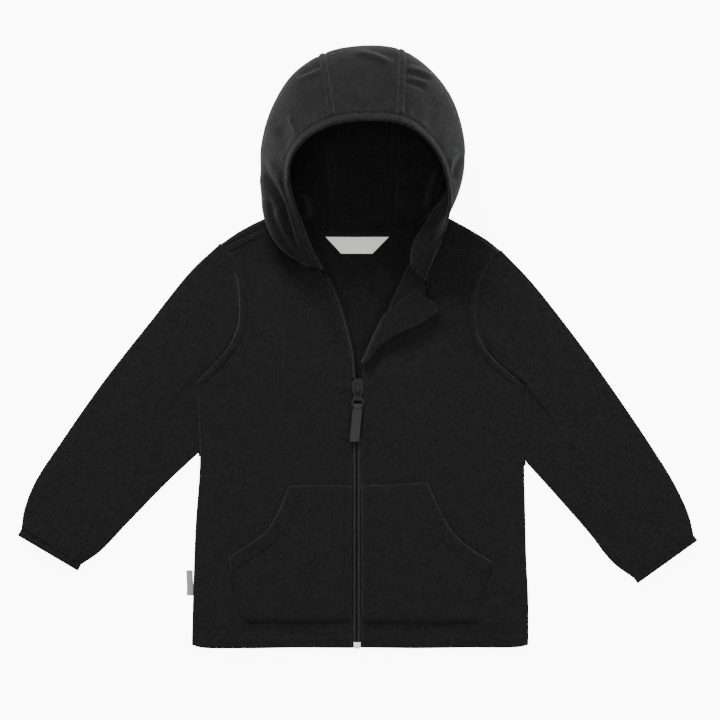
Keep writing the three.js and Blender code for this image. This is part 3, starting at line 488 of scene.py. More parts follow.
def skin(rows, columns, closed):
    """Quads of one grid, counter-clockwise, as rows of four indices."""
    cells = columns if closed else columns - 1
    j, i = np.meshgrid(np.arange(rows - 1), np.arange(cells), indexing="ij")
    k = (i + 1) % columns
    return np.stack([j * columns + i, j * columns + k, (j + 1) * columns + k, (j + 1) * columns + i],
                    axis=-1).reshape(-1, 4)


def rim_of(rows, columns, closed):
    """Loops of border indices: one round an open sheet, two on a tube."""
    top = (rows - 1) * columns
    if closed:
        return [np.arange(columns), top + np.arange(columns)[::-1]]
    loop = np.concatenate([np.arange(columns - 1), np.arange(rows - 1) * columns + columns - 1,
                           top + np.arange(columns - 1, 0, -1), np.arange(rows - 1, 0, -1) * columns])
    return [loop]


def mesh_from(name, points, quads):
    mesh = bpy.data.meshes.new(name)
    mesh.vertices.add(len(points))
    mesh.vertices.foreach_set("co", (points * MM + ORIGIN).astype(np.float32).ravel())
    mesh.loops.add(quads.size)
    mesh.loops.foreach_set("vertex_index", quads.ravel().astype(np.int32))
    mesh.polygons.add(len(quads))
    mesh.polygons.foreach_set("loop_start", np.arange(0, quads.size, 4, dtype=np.int32))
    mesh.update(calc_edges=True)
    mesh.validate()
    mesh.shade_smooth()
    return mesh


def volume_of(points, quads):
    a, b, c, d = (points[quads[:, k]] for k in range(4))
    return np.sum(a * np.cross(b, c) + a * np.cross(c, d)) / 6


def closed_object(name, points, quads):
    """An object from quads that enclose a space, turned so that they face outward."""
    if volume_of(points, quads) < 0:
        quads = quads[:, ::-1]
    return new_object(name, mesh_from(name, points, quads))


def shell(name, face, back, closed=False, bulge=0.35):
    """A closed sheet of cloth between two grids, with a rounded rim."""
    rows, columns = face.shape[:2]
    count = rows * columns
    quads = skin(rows, columns, closed)
    parts = [quads, quads[:, ::-1] + count]
    points = [face.reshape(-1, 3), back.reshape(-1, 3)]
    middle = 2 * count
    out_by_edge = face_out(face, back, closed)
    for loop, out in zip(rim_of(rows, columns, closed), out_by_edge):
        ring = (points[0][loop] + points[1][loop]) / 2 + out * bulge
        points.append(ring)
        n = len(loop)
        k, nxt = np.arange(n), (np.arange(n) + 1) % n
        parts.append(np.stack([loop[k], middle + k, middle + nxt, loop[nxt]], axis=-1))
        parts.append(np.stack([middle + k, loop[k] + count, loop[nxt] + count, middle + nxt], axis=-1))
        middle += n
    CUT_SIZES[name] = cut_size(face, closed)
    return closed_object(name, np.concatenate(points), np.concatenate(parts))


def cut_size(face, closed):
    """A sheet's greatest width and length along its cloth, and its area, in metres."""
    around = np.concatenate([face, face[:, :1]], axis=1) if closed else face
    width = np.linalg.norm(np.diff(around, axis=1), axis=-1).sum(axis=1).max()
    length = np.linalg.norm(np.diff(around, axis=0), axis=-1).sum(axis=0).max()
    a, b, c, d = around[:-1, :-1], around[:-1, 1:], around[1:, 1:], around[1:, :-1]
    area = np.linalg.norm(np.cross(c - a, d - b), axis=-1).sum() / 2
    return width * MM, length * MM, area * MM * MM


def face_out(face, back, closed):
    """The way out of the sheet at each border point, along the cloth."""
    rows, columns = face.shape[:2]
    centre = (face + back) / 2
    flat = centre.reshape(-1, 3)
    result = []
    inner = np.concatenate([centre[1:2], centre[1:-1], centre[-2:-1]])
    if not closed:
        inner = np.concatenate([inner[:, 1:2], inner[:, 1:-1], inner[:, -2:-1]], axis=1)
    away = flat - inner.reshape(-1, 3)
    for loop in rim_of(rows, columns, closed):
        out = away[loop]
        result.append(out / np.maximum(np.linalg.norm(out, axis=1, keepdims=True), 1e-9))
    return result


def piece(obj, slot, *nodes, body="jacket"):
    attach(obj, body)
    if nodes:
        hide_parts(*nodes)
    PIECES[obj.name] = (obj, slot)
    return obj


def lift(points, height):
    """Points of a plan raised to heights."""
    out = points.copy()
    out[..., 2] = height
    return out


print("a flat test sheet has", len(skin(3, 4, False)), "quads")

# %% [markdown]
# ## Front panels
# Each front rises from its side seam and hem to the height of the laid body. The left front turns back
# above the slider: beyond the turn line its cloth rolls over and lies face down on the chest, so the
# inside shows. The hem is turned up and held by two lines of stitches. The free edge is turned under and
# stitched, and the armhole seam lies under a padded ridge on the body's side.

# %% Front panels
HEM_STITCHES = (19.0, 13.0)
TURN_IN, ARMHOLE_TURN = 7.5, 7.4
UNDERARM_LOW, UNDERARM_HIGH, ARMHOLE_DROP = 250, 296, 0.3


def hem_rise(y):
    return mix(HEM_RISE, 1, 1 - np.exp(-np.maximum(y, 0) / EASE))


def open_base(x, y):
    return LOFT - CLOTH + fold_height(x, y, FOLDS)


def front_base(points, side_points):
    x, y = points[..., 0], points[..., 1]
    from_side = np.linalg.norm(points[..., :2] - side_points[..., :2], axis=-1)
    low = mix(SIDE_TOP, LOFT - ARMHOLE_DROP, smooth(UNDERARM_LOW, UNDERARM_HIGH, y)) - CLOTH
    return mix(low, open_base(x, y), (1 - np.exp(-from_side / EASE)) * hem_rise(y))


def body_relief(points, part, free_edge):
    """Seams, stitch lines and small creases of a front."""
    x, y = points[..., 0], points[..., 1]
    plan = points[..., :2]
    hem = line_of(part["hem"])
    armhole = line_of(part["armhole"])
    height = fold_height(x, y, CREASES) + 0.22 * ripple(x, y, 21) + 0.12 * ripple(x + 40, y, 9)
    for above in HEM_STITCHES:
        height += groove(plan, hem + (0, above), 0.55, 0.9)
    puckers = np.sin(x / 3.1 + 1.7 * np.sin(x / 17)) * (0.6 + 0.4 * np.sin(x / 29))
    height += 0.3 * puckers * bell(y - 15, 7) + 0.35 * ripple(x, y, 15) * bell(y - 9, 9)
    height += 0.5 * (1 - smooth(11.5, 13.5, y))
    height += welt(plan, shifted(armhole, part["sign"] * 3.6), ARMHOLE_TURN, 1.2)
    height += groove(plan, shifted(armhole, part["sign"] * ARMHOLE_TURN), 0.6, 0.9)
    height += welt(plan, free_edge, 2 * TURN_IN, 0.7)
    inside = shifted(free_edge, part["sign"] * -TURN_IN)
    height += groove(plan, inside, 0.5, 0.9)
    neck = line_of(part["neck"])
    height += groove(plan, shifted(neck, part["sign"] * 1.5), 0.35, 1.2)
    armhole_gap, _ = distance_to(plan, armhole)
    free_gap, _ = distance_to(plan, free_edge)
    height += rounded(armhole_gap, 2.2) * 0.9 + rounded(free_gap, 1.6) * 0.7
    height += 0.9 * fold_height(x, y, FOLDS)
    near_edge, share = distance_to(plan, inside)
    gathers = 0.28 * np.sin(share * 210 + 2 * np.sin(share * 31))
    return height + gathers * bell(near_edge - 3, 6) * smooth(0.02, 0.1, share)


def make_front_right():
    part = RIGHT
    plan = patch(
        edge((part["hem"], 1)),
        edge((part["shoulder"], 5), (part["neck"], 7)),
        edge((part["side"], 11), (part["armhole"], 9)),
        edge(([(-5.5, 0), (-5.5, 131), part["zip"][0]], 12), (part["zip"], 8)),
    )
    u, v = grid(94, 212)
    points = plan(u, v)
    base = front_base(points, plan(0 * u, v))
    free = np.concatenate([line_of([(-5.5, 0), (-5.5, 131), (-5.5, 262)]), line_of(part["zip"])[1:]])
    top = base + CLOTH + body_relief(points, part, free)
    obj = shell("front_right_cloth", lift(points, top), lift(points, top - CLOTH), bulge=0.5)
    return piece(obj, "fleece", "front_right"), free


def roll_over(points, base, rise):
    """Cloth beyond the turn line, rolled over it; rise is the height above the cloth's underside."""
    beyond = (points[..., :2] - TURN_FROM) @ TURN_OUT
    rolled = np.clip(beyond, 0, None)
    angle = np.minimum(rolled / TURN_RADIUS, np.pi)
    over = rolled - angle * TURN_RADIUS
    reach = (TURN_RADIUS - rise) * np.sin(angle) - over
    height = np.where(beyond > 0, base + TURN_RADIUS - (TURN_RADIUS - rise) * np.cos(angle), base + rise)
    out = points.copy()
    out[..., :2] += (np.where(beyond > 0, reach - beyond, 0))[..., None] * TURN_OUT
    out[..., 2] = height
    return out


TURN_SHARE = 13 / 20


def make_front_left():
    part = LEFT
    inner_low = [(10.5, 0.4), (10.5, 131), (9.5, 240), (4.5, 271)]
    hem = part["hem"][:-1] + [(10.5, 0.3)]
    main = patch(
        edge((hem, 1)),
        edge((part["shoulder"], 5), (part["neck"], 7)),
        edge((part["side"], 11), (part["armhole"], 9)),
        edge((inner_low, 13), ([tuple(TURN_FROM), tuple(TURN_TO)], 7)),
    )
    tip = (5.4, 274)
    strip_in = edge((inner_low, 1))
    strip_out = edge(([(4.5, 0.4), (4.5, 131), (4.5, 262), tip], 1))
    turned = patch(
        edge(([tuple(TURN_FROM), tip], 1)),
        edge((TURNED_NECK, 1)),
        edge(([tuple(TURN_FROM), tuple(TURN_TO)], 1)),
        edge(([tip] + TURNED_ZIP[1:], 1)),
    )
    v = np.unique(np.concatenate([np.linspace(0, TURN_SHARE, 140), np.linspace(TURN_SHARE, 1, 80)]))
    u_main = np.linspace(0, 1, 90)
    u_roll = np.concatenate([np.linspace(0, 0.3, 15)[1:], np.linspace(0.3, 1, 24)[1:]])
    um, vm = np.meshgrid(u_main, v)
    main_points = main(um, vm)
    ur, vr = np.meshgrid(u_roll, v)
    low = np.clip(vr / TURN_SHARE, 0, 1)
    below = strip_in(low) * (1 - ur[..., None]) + strip_out(low) * ur[..., None]
    above = turned(ur, np.clip((vr - TURN_SHARE) / (1 - TURN_SHARE), 0, 1))
    roll_points = np.where((vr <= TURN_SHARE)[..., None], below, above)
    points = np.concatenate([main_points, roll_points], axis=1)
    side = main(0 * um, vm)[:, :1]
    x, y = points[..., 0], points[..., 1]
    base = front_base(points, np.broadcast_to(side, points.shape))
    free = np.concatenate([line_of([(4.5, 0), (4.5, 131), (4.5, 262)]), line_of(TURNED_ZIP)[1:]])
    beyond = np.clip((points[..., :2] - TURN_FROM) @ TURN_OUT, 0, None)
    settled = smooth(0, 10, beyond)
    base = mix(base, open_base(x, y), settled)
    relief = body_relief(points, part, free) * (1 - smooth(0, 7, beyond))
    relief += 0.35 * settled * ripple(x, y, 14)
    face = roll_over(points, base, CLOTH + relief)
    back = roll_over(points, base, relief * (1 - settled) - 0.35 * settled * ripple(x + 9, y, 12) * 0.5)
    obj = shell("front_left_cloth", face, back, bulge=0.5)
    return piece(obj, "fleece", "front_left"), free


front_right, free_right = make_front_right()
front_left, free_left = make_front_left()
print("fronts:", [len(o.data.polygons) for o in (front_right, front_left)])

# %% [markdown]
# ## Back panel and shoulders
# The back lies flat. Its shoulders wrap forward over the top of the body, as far as the shoulder seam,
# so the fold at the top of each shoulder belongs to the back panel.

# %% Back panel
def shoulder_wall(part, rise, across, along):
    """The C-shaped strip round a shoulder's fold, at a height above its inner face."""
    radius = LOFT / 2 - CLOTH + rise
    u = np.linspace(0, 1, across)
    fold = edge((part["fold"], 1))(u)
    seam = edge((part["shoulder"], 1))(u)
    out = fold - seam
    out /= np.linalg.norm(out, axis=1)[:, None]
    centre = fold - out * LOFT / 2
    run = np.linalg.norm(seam - centre, axis=1)
    total = 2 * run + np.pi * LOFT / 2
    around = np.linspace(0, 1, along)[:, None] * total[None, :]
    angle = np.clip((around - run) / (LOFT / 2), 0, np.pi)
    back = np.clip(around - run - np.pi * LOFT / 2, 0, None)
    flat = around <= run
    reach = np.where(flat, around - run, radius * np.sin(angle) - back * 0.97)
    points = centre[None] + reach[..., None] * out[None]
    points[..., 2] = np.where(flat, LOFT / 2 - radius, LOFT / 2 - radius * np.cos(angle))
    return points


def make_back():
    plan = patch(
        edge((RIGHT["hem"], 1), (LEFT["hem"][::-1], 1)),
        edge((RIGHT["shoulder"], 4), (BACK_NECK, 10), (LEFT["shoulder"][::-1], 4)),
        edge((RIGHT["side"], 5), (RIGHT["armhole"], 7)),
        edge((LEFT["side"], 5), (LEFT["armhole"], 7)),
    )
    u, v = grid(116, 104)
    points = plan(u, v)
    top = CLOTH + 0.12 * ripple(points[..., 0], points[..., 1], 18)
    obj = shell("back_cloth", lift(points, top), lift(points, 0 * top), bulge=0.3)
    return piece(obj, "fleece", "back")


def make_shoulder(name, part):
    face, wall = (shoulder_wall(part, rise, 60, 60) for rise in (CLOTH, 0))
    x, y = face[..., 0], face[..., 1]
    upper = face[..., 2] > LOFT / 2
    swell = np.where(upper, 0.25 * ripple(x, y, 10) + fold_height(x, y, CREASES), 0)
    seam = edge((part["shoulder"], 1))(np.linspace(0, 1, 60))
    from_seam = np.linalg.norm(face[..., :2] - seam[None, :, :2], axis=-1)
    ridge = 0.6 * (1 - smooth(4.5, 7, from_seam)) - 0.5 * bell(from_seam - 6.2, 0.9)
    height = np.where(upper, swell + ridge, 0)
    face[..., 2] += height
    wall[..., 2] += height
    obj = shell(name, face, wall, bulge=0.4)
    return piece(obj, "fleece", "back")


back = make_back()
shoulders = [make_shoulder("shoulder_right_cloth", RIGHT), make_shoulder("shoulder_left_cloth", LEFT)]
print("back:", len(back.data.polygons), "shoulders:", [len(o.data.polygons) for o in shoulders])

# %% [markdown]
# ## Sleeves and cuffs
# A sleeve is a flattened tube: a flat underside, a full middle and two rounded edges. Below the armhole
# its cloth tucks under the body. A narrow band gathers it at the wrist, so short creases run up from the
# band and die away.

# %% Sleeves and cuffs
ARMHOLE_GAP, UNDERARM_PLACE = 0.9, 9 / 28
BAND = 7.5
UNDERARM = {"push": 4.5, "across": 0.6, "width": 0.13, "along": 0.09}


def across_tube(u):
    return (1 - np.cos(2 * np.pi * u)) / 2


def sleeve_plan(part):
    body = part["body"]

    def clear(points):
        return [(x + body["sign"] * ARMHOLE_GAP, y + ARMHOLE_GAP / 2) for x, y in points]

    start = clear([body["fold"][0]])[0]
    along = [p for p in body["side"] if p[1] > part["meets"][1]][::-1]
    share = across_tube(UNDERARM_PLACE)
    plan = patch(
        edge(([start] + clear(body["armhole"][::-1]), share), (clear(along + [part["meets"]]), 1 - share)),
        edge(([part["upper"][-1], part["lower"][-1]], 1)),
        edge(([start] + part["upper"], 1)),
        edge((clear([part["meets"]]) + part["lower"], 1)),
    )
    away = np.array([body["sign"] * 0.63, 0.77, 0])

    def at(u, v):
        near = bell(u - UNDERARM["across"], UNDERARM["width"])
        early = (v / UNDERARM["along"]) * np.exp(1 - v / UNDERARM["along"])
        return plan(u, v) + (UNDERARM["push"] * near * early)[..., None] * away

    return at


def section(angle, top):
    """Height of a flattened tube: flat below, full in the middle, round at its two edges."""
    round_off = np.sqrt(np.abs(np.sin(angle)))
    full, flat = top / 2 * (1 + round_off), top / 2 * (1 - np.minimum(1, 1.3 * round_off))
    return np.where(np.sin(angle) >= 0, full, flat)


def make_sleeve(name, key):
    part = SLEEVES[key]
    plan = sleeve_plan(part)
    columns, rows = 128, 142
    u, v = np.meshgrid(np.arange(columns) / columns, np.linspace(0, 1, rows + 1))
    side = np.sin(2 * np.pi * u)
    points = plan(across_tube(u), v)
    tucked = smooth(0.56, 0.9, across_tube(u)) * (1 - smooth(0.02, 0.3, v))
    top = LOFT - 0.2 - (LOFT - SIDE_TOP - SEAM) * tucked
    x, y = points[..., 0], points[..., 1]
    wrist = Curve([part["upper"][-1], part["lower"][-1]]).at(np.linspace(0, 1, 40))[:, :2]
    from_cuff, place = distance_to(points[..., :2], wrist)
    gathers = np.sin(place * 58 + 2.2 * np.sin(place * 9)) * (0.6 + 0.4 * np.sin(place * 23 + 1))
    fade = np.exp(-from_cuff / (5 + 5 * np.abs(np.sin(place * 17))))
    small = fold_height(x, y, CREASES) + 0.3 * ripple(x, y, 17) + 0.16 * ripple(x, y + 30, 8)
    lifted = 1.5 * fold_height(x, y, FOLDS) + small + 0.85 * gathers * fade
    armhole_gap, _ = distance_to(points[..., :2], line_of(part["body"]["armhole"]))
    lifted = lifted * smooth(1, 9, armhole_gap) + rounded(np.maximum(armhole_gap - 1, 0), 2.4)
    height = section(2 * np.pi * u, top) + np.where(side > 0, lifted * side**2 * (1 - tucked), 0)
    inset = CLOTH / np.linalg.norm(plan(0 * u, v) - plan(0 * u + 1, v), axis=-1)
    inner_points = plan(mix(inset, 1 - inset, across_tube(u)), v)
    below_top = np.maximum(height - CLOTH, CLOTH + 0.2)
    above_floor = np.minimum(height + CLOTH, LOFT / 2 - 0.4)
    inner = np.where(side > 0, below_top, above_floor)
    inner = np.where(side > 0, np.minimum(inner, height - 0.5), inner)
    inner = np.where(np.abs(side) < 0.05, height, inner)
    obj = shell(name, lift(points, height), lift(inner_points, inner), closed=True, bulge=0.3)
    return piece(obj, "fleece", f"sleeve_{key}")


def make_cuff(name, key):
    part = SLEEVES[key]
    near = edge(([part["upper"][-1], part["lower"][-1]], 1))
    far = edge((part["wrist"], 1))
    columns, rows = 160, 16
    u, v = np.meshgrid(np.arange(columns) / columns, np.linspace(0, 1, rows + 1))
    start, height = 2 * SEAM / BAND, LOFT - 0.6
    width = np.linalg.norm(near(np.array([0.0])) - near(np.array([1.0])))
    crown = 0.35 * np.sqrt(np.clip(1 - (2 * v - 1) ** 2, 0, 1)) - 0.25

    def tube(inset):
        place = mix(inset / width, 1 - inset / width, across_tube(u))
        level = section(2 * np.pi * u, height)
        to_middle = np.sign(height / 2 - level) * np.minimum(inset, np.abs(height / 2 - level))
        along = mix(start, 1, v)[..., None]
        points = near(place) * (1 - along) + far(place) * along
        pleats = 0.16 * np.sin(place * 70 + 2 * np.sin(place * 11)) * (1 - v)
        up = np.where(level > height / 2, crown + pleats, 0)
        return lift(points, level + to_middle + up)

    obj = shell(name, tube(0), tube(CLOTH), closed=True, bulge=0.4)
    return piece(obj, "fleece", f"cuff_{key}")


sleeves = {key: make_sleeve(f"sleeve_{key}_cloth", key) for key in ("right", "left")}
cuffs = {key: make_cuff(f"cuff_{key}_cloth", key) for key in ("right", "left")}
print("sleeves:", [len(o.data.polygons) for o in sleeves.values()])

# %% [markdown]
# ## Patch pockets
# A pocket is a second layer of fleece, sewn down near its edges. Its slanting mouth is left open and
# faced: a second row of stitches runs about 14 mm inside the edge. The cloth bags a little between seams.

# %% Pockets
FACING_WIDTH = 14.0


def pocket_edges(part):
    return {key: line_of(part[key]) for key in ("bottom", "outside", "opening", "top")}


def make_pocket(name, key):
    part = POCKETS[key]
    sign = -1 if key == "right" else 1
    plan = patch(
        edge((part["bottom"], 1)), edge((part["top"], 1)),
        edge((part["outside"], 3), (part["opening"], 5)), edge((part["zip"], 1)),
    )
    u, v = grid(88, 100)
    points = plan(u, v)
    x, y = points[..., 0], points[..., 1]
    rising = (1 - np.exp(-np.abs(part["side"] - x) / EASE)) * hem_rise(y)
    under = mix(SIDE_TOP, LOFT + fold_height(x, y, FOLDS), rising) + SEAM + 0.15
    under += np.maximum(fold_height(x, y, CREASES) + 0.9 * fold_height(x, y, FOLDS), 0) + 0.3
    edges = pocket_edges(part)
    plan_points = points[..., :2]
    height = 0.25 * ripple(x, y, 23) + 0.12 * ripple(x, y + 12, 9)
    for sewn in ("bottom", "outside", "top"):
        gap, _ = distance_to(plan_points, edges[sewn])
        height += rounded(gap, 3.0) * 0.62 - 0.35 * bell(gap - 2.6, 0.9)
    mouth = edges["opening"]
    height += groove(plan_points, shifted(mouth, FACING_WIDTH * sign), 0.5, 0.9)
    gap, share = distance_to(plan_points, mouth)
    height += 0.5 * (1 - smooth(12.5, 14.5, gap)) + 0.5 * bell(gap, 5) * np.sin(share * np.pi)
    height += 0.7 * np.sin(share * np.pi) * bell(gap - 3, 9) + rounded(gap, 2.6) * 0.62
    top = under + CLOTH + height
    obj = shell(name, lift(points, top), lift(points, np.maximum(top - CLOTH, under - 0.2)), bulge=0.3)
    return piece(obj, "fleece", f"pocket_{key}")


pockets = {key: make_pocket(f"pocket_{key}_cloth", key) for key in ("right", "left")}
print("pockets:", [len(o.data.polygons) for o in pockets.values()])

# %% [markdown]
# ## Seam allowances
# Where two panels meet, their raw edges are turned inside and lie as a soft roll under the seam. It fills
# the groove between the panels, so no floor shows through.

# %% Seam rolls
def rod_of(name, rings):
    """A closed rod from rings of points, with flat ends."""
    count, sides = rings.shape[:2]
    top = (count - 1) * sides
    caps = []
    for k in range(sides // 2 - 1):
        caps += [[k + 1, k, sides - 1 - k, sides - 2 - k],
                 [top + k, top + k + 1, top + sides - 2 - k, top + sides - 1 - k]]
    quads = np.concatenate([skin(count, sides, True), np.array(caps)])
    return closed_object(name, rings.reshape(-1, 3), quads)


def tube(name, centre, radius, sides, flatness):
    """A soft cord through points, round or flattened, closed at both ends."""
    way = np.gradient(centre, axis=0)
    way /= np.linalg.norm(way, axis=1, keepdims=True)
    across = np.cross(way, [0, 0, 1.0])
    across /= np.linalg.norm(across, axis=1, keepdims=True)
    up = np.cross(across, way)
    a = np.linspace(0, 2 * np.pi, sides, endpoint=False)
    ring = (centre[:, None] + radius * np.cos(a)[None, :, None] * across[:, None]
            + flatness * radius * np.sin(a)[None, :, None] * up[:, None])
    return rod_of(name, ring)


def seam_roll(name, line, height, radius, flatness):
    centre = np.concatenate([line, np.zeros((len(line), 1))], axis=1)
    centre[:, 2] = height
    return piece(tube(name, centre, radius, 16, flatness), "fleece")


seam_rolls = []
for key, part, meets in (("right", RIGHT, 194), ("left", LEFT, 184)):
    hole = shifted(line_of(part["armhole"] + [part["fold"][0]]), part["sign"] * -0.5)
    rise = mix(2.6, 3.6, smooth(262, 290, hole[:, 1]))
    seam_rolls.append(seam_roll(f"armhole_roll_{key}", hole, rise, 3.0, 0.3))
    side = line_of(part["side"])
    side = shifted(side[side[:, 1] > meets - 4], part["sign"] * -0.5)
    seam_rolls.append(seam_roll(f"side_roll_{key}", side, 1.5, 1.5, 0.5))
print("rolls:", [o.name for o in seam_rolls])

# %% [markdown]
# ## Hood
# The hood is three panels of fleece, two sides and a crown strip, standing open. Their surface runs from
# the edge of the opening, out over the widest place, down to where the cloth rests, and in to the neck
# seam. A padded ridge lies beside each crown seam, and the cloth puckers a little along it. A folded band
# binds the opening, with one row of stitches at its outer edge.

# %% Hood surface
HOOD_CREASES = [  # line, width, lift on the outside of the hood
    ([(-97, 488), (-88, 465), (-75, 443), (-66, 415), (-54, 385)], 3.4, -3.6),
    ([(-90, 492), (-80, 470), (-69, 452), (-62, 430)], 5.5, 2.4),
    ([(-98, 474), (-90, 455), (-80, 436)], 5, 1.8),
    ([(-90, 458), (-82, 425), (-62, 391), (-50, 380)], 3.6, -2.6),
    ([(-84, 440), (-72, 410), (-58, 392)], 4, 1.3),
    ([(-69, 530), (-63, 517), (-59, 506)], 2.6, 1.7),
    ([(-80, 516), (-72, 507), (-65, 500)], 4.5, -1.2),
    ([(108, 494), (98, 476), (95, 460)], 3.6, -3.0),
    ([(100, 498), (91, 480), (88, 466)], 4.5, 1.6),
    ([(-6, 592), (17, 587.5), (37, 578)], 2.6, 2.5),
    ([(12, 595), (28, 588.5), (42, 583)], 3.0, -0.9),
    ([(46, 576.5), (62, 572.5), (80, 565)], 2.2, 1.6),
    ([(46, 571), (60, 567.5), (73, 563)], 2.0, -1.8),
    ([(46, 566), (60, 563), (74, 559)], 2.0, 1.2),
    ([(46, 562), (58, 558.5), (69, 553)], 2.0, -1.6),
    ([(-62, 562), (-48, 568.5), (-33, 574)], 2.4, 1.6),
    ([(-59, 568), (-47, 573.5), (-34, 579)], 2.2, -1.4),
    ([(-10, 556), (4, 548), (16, 540)], 7, 0.7),
    ([(78, 545), (72, 528), (62, 518)], 6, -0.9),
    ([(-84, 526), (-76, 516), (-68, 510)], 6, -0.5),
    ([(-52, 548), (-46, 534), (-44, 522)], 5, -0.8),
    ([(92, 520), (86, 502), (82, 488)], 6, 0.8),
]
LINING_CREASES = [  # the same, on the inside of the hood where it shows through the opening
    ([(-60, 452), (-53, 443), (-51, 424)], 5.5, 7.5),
    ([(-30, 516), (-27, 485), (-26, 446)], 5, 5.0),
    ([(-8, 514), (-7, 480), (-5, 440)], 6, 3.4),
    ([(-50, 494), (-42, 472), (-38, 450)], 5, 3.0),
    ([(34, 500), (20, 465), (10, 436)], 7, 2.6),
    ([(54, 492), (46, 462), (42, 432)], 6, 3.0),
    ([(88, 484), (76, 457), (71, 428)], 6, 7.5),
    ([(-24, 432), (14, 430), (44, 434)], 6, 1.2),
]


def crease_height(x, y, table):
    """The sum of curved creases at places x, y, each fading towards both ends."""
    total = np.zeros(np.shape(x))
    plan = np.stack([x, y], axis=-1)
    for points, width, lift in table:
        gap, share = distance_to(plan, line_of(points, 24))
        total += lift * bell(gap, width) * smooth(0, 0.25, share) * (1 - smooth(0.72, 1, share))
    return total


def hood_grid(stations, shares_of):
    """Points of the hood: one line over the hood for each station, at shares of its length."""
    rails = [Curve([row[k] for row in HOOD], per_span=32).at_knots(stations) for k in range(4)]
    lines = [Curve([rail[n] for rail in rails]) for n in range(len(stations))]
    lengths = np.array([line.length for line in lines])
    shares = shares_of(lengths)
    points = np.stack([line.at(shares[:, n]) for n, line in enumerate(lines)], axis=1)
    points[..., 2] = np.maximum(points[..., 2], 0)
    return points, lengths


def hood_relief(points, normals):
    x, y = points[..., 0], points[..., 1]
    outside = smooth(-0.2, 0.35, normals[..., 2])
    inside = 1 - outside
    swell = 0.5 * ripple(x, y + points[..., 2], 19) + 0.2 * ripple(x + 15, y, 8)
    return outside * (swell + crease_height(x, y, HOOD_CREASES)), inside * crease_height(x, y, LINING_CREASES)


def make_hood_panel(name, node, first, last, columns, rows):
    inset = 0.00025
    side_panel = first == 0 or last == 1
    first_in, last_in = first + (inset if first > 0 else 0), last - (inset if last < 1 else 0)
    stations = np.linspace(first_in, last_in, columns + 1)
    sharp = 1 - smooth(0, 0.2, stations) + smooth(0.8, 1, stations)

    def shares(lengths):
        start = (BIND + SEAM + BIND_CLEAR * sharp) / lengths
        return mix(start[None, :], 1, np.linspace(0, 1, rows + 1)[:, None])

    points, _ = hood_grid(stations, shares)
    normals = normals_of(points)
    outside, inside = hood_relief(points, normals)
    ridge = np.zeros(points.shape[:2])
    for seam in CROWN_SEAMS:
        seam_line, _ = hood_grid(np.array([seam]), lambda n: np.linspace(0, 1, 120)[:, None])
        gap, share = distance_to(points, seam_line[:, 0])
        if side_panel:
            pucker = 0.22 * np.sin(share * 160 + 2 * np.sin(share * 37))
            ridge += (0.8 + pucker) * (1 - smooth(4.2, 6.8, gap)) - 0.6 * bell(gap - 7.2, 0.9)
        ridge -= 0.9 * bell(gap, 1.1)
    rim_line, _ = hood_grid(stations, lambda n: (BIND / n)[None, :])
    gap, share = distance_to(points, rim_line[0])
    gathers = 0.3 * np.sin(share * 230 * (last - first) + 2.5 * np.sin(share * 21)) * bell(gap - 4, 7)
    neck_line, _ = hood_grid(stations, lambda n: np.ones((1, len(stations))))
    neck_gap, _ = distance_to(points, neck_line[0])
    settle = smooth(0, 8, neck_gap) * smooth(0, 5, gap)
    up = smooth(-0.3, 0.1, normals[..., 2])
    ground = up + (1 - up) * smooth(2, 8, points[..., 2])
    total = (outside + gathers) * settle * ground + ridge * smooth(0.2, 2.5, gap)
    inward = inside * settle
    face = points + normals * (total - 0.9 * inward)[..., None]
    face[..., 2] = np.maximum(face[..., 2], 0.02)
    wall = points - normals * (CLOTH - total + inward)[..., None]
    obj = shell(name, face, wall, bulge=0.3)
    return piece(obj, "fleece", node)


hood = [
    make_hood_panel("hood_right_cloth", "hood_right", 0, CROWN_SEAMS[0], 184, 112),
    make_hood_panel("hood_centre_cloth", "hood_centre", *CROWN_SEAMS, 50, 112),
    make_hood_panel("hood_left_cloth", "hood_left", CROWN_SEAMS[1], 1, 184, 112),
]


def make_binding():
    stations = np.linspace(0, 1, 421)
    rows = 14
    v = np.linspace(0, 1, rows + 1)[:, None]
    points, _ = hood_grid(stations, lambda n: v * BIND / n[None, :])
    normals = normals_of(points)
    rolled = np.sqrt(np.clip(1 - (1 - np.clip(v * 4, 0, 1)) ** 2, 0, 1))
    run = stations * BIND_LENGTH
    soft = 0.14 * np.sin(run / 2.9 + 2 * np.sin(run / 17)) + 0.18 * np.sin(run / 11 + 1)
    dips = 0.8 + 0.2 * np.cos(2 * np.pi * run / STITCH_PITCH)
    stitch = -0.75 * bell(v * BIND - BIND_STITCH, 0.8) * dips
    proud = BIND_PROUD * rolled + 0.35 * rolled * (1 - v) + soft * rolled + stitch
    face = points + normals * proud[..., None]
    wall = points - normals * (CLOTH + BIND_PROUD * rolled)[..., None]
    obj = shell("hood_binding_cloth", face, wall, bulge=1.1)
    return piece(obj, "fleece", "hood_binding")


binding = make_binding()
print("hood:", [len(o.data.polygons) for o in hood + [binding]])

# %% [markdown]
# ## Neck corners
# The hood's neck seam stands a little away from the back's neck edge. A small facing and a low wall of
# cloth at each side close the corner between them, so no floor shows through from the side.

# %% Neck corners
def make_neck_facing(name, low_points, high_points):
    """A small panel that closes the corner between the back's neck edge and the hood."""
    u, v = grid(60, 16)
    low, high = Curve(low_points), Curve(high_points)
    points = low.at(u) * (1 - v[..., None]) + high.at(u) * v[..., None]
    z = mix(0.4, high.at(u)[..., 2], v)
    obj = shell(name, lift(points, z + 1.0), lift(points, z), bulge=0.2)
    return piece(obj, "fleece")


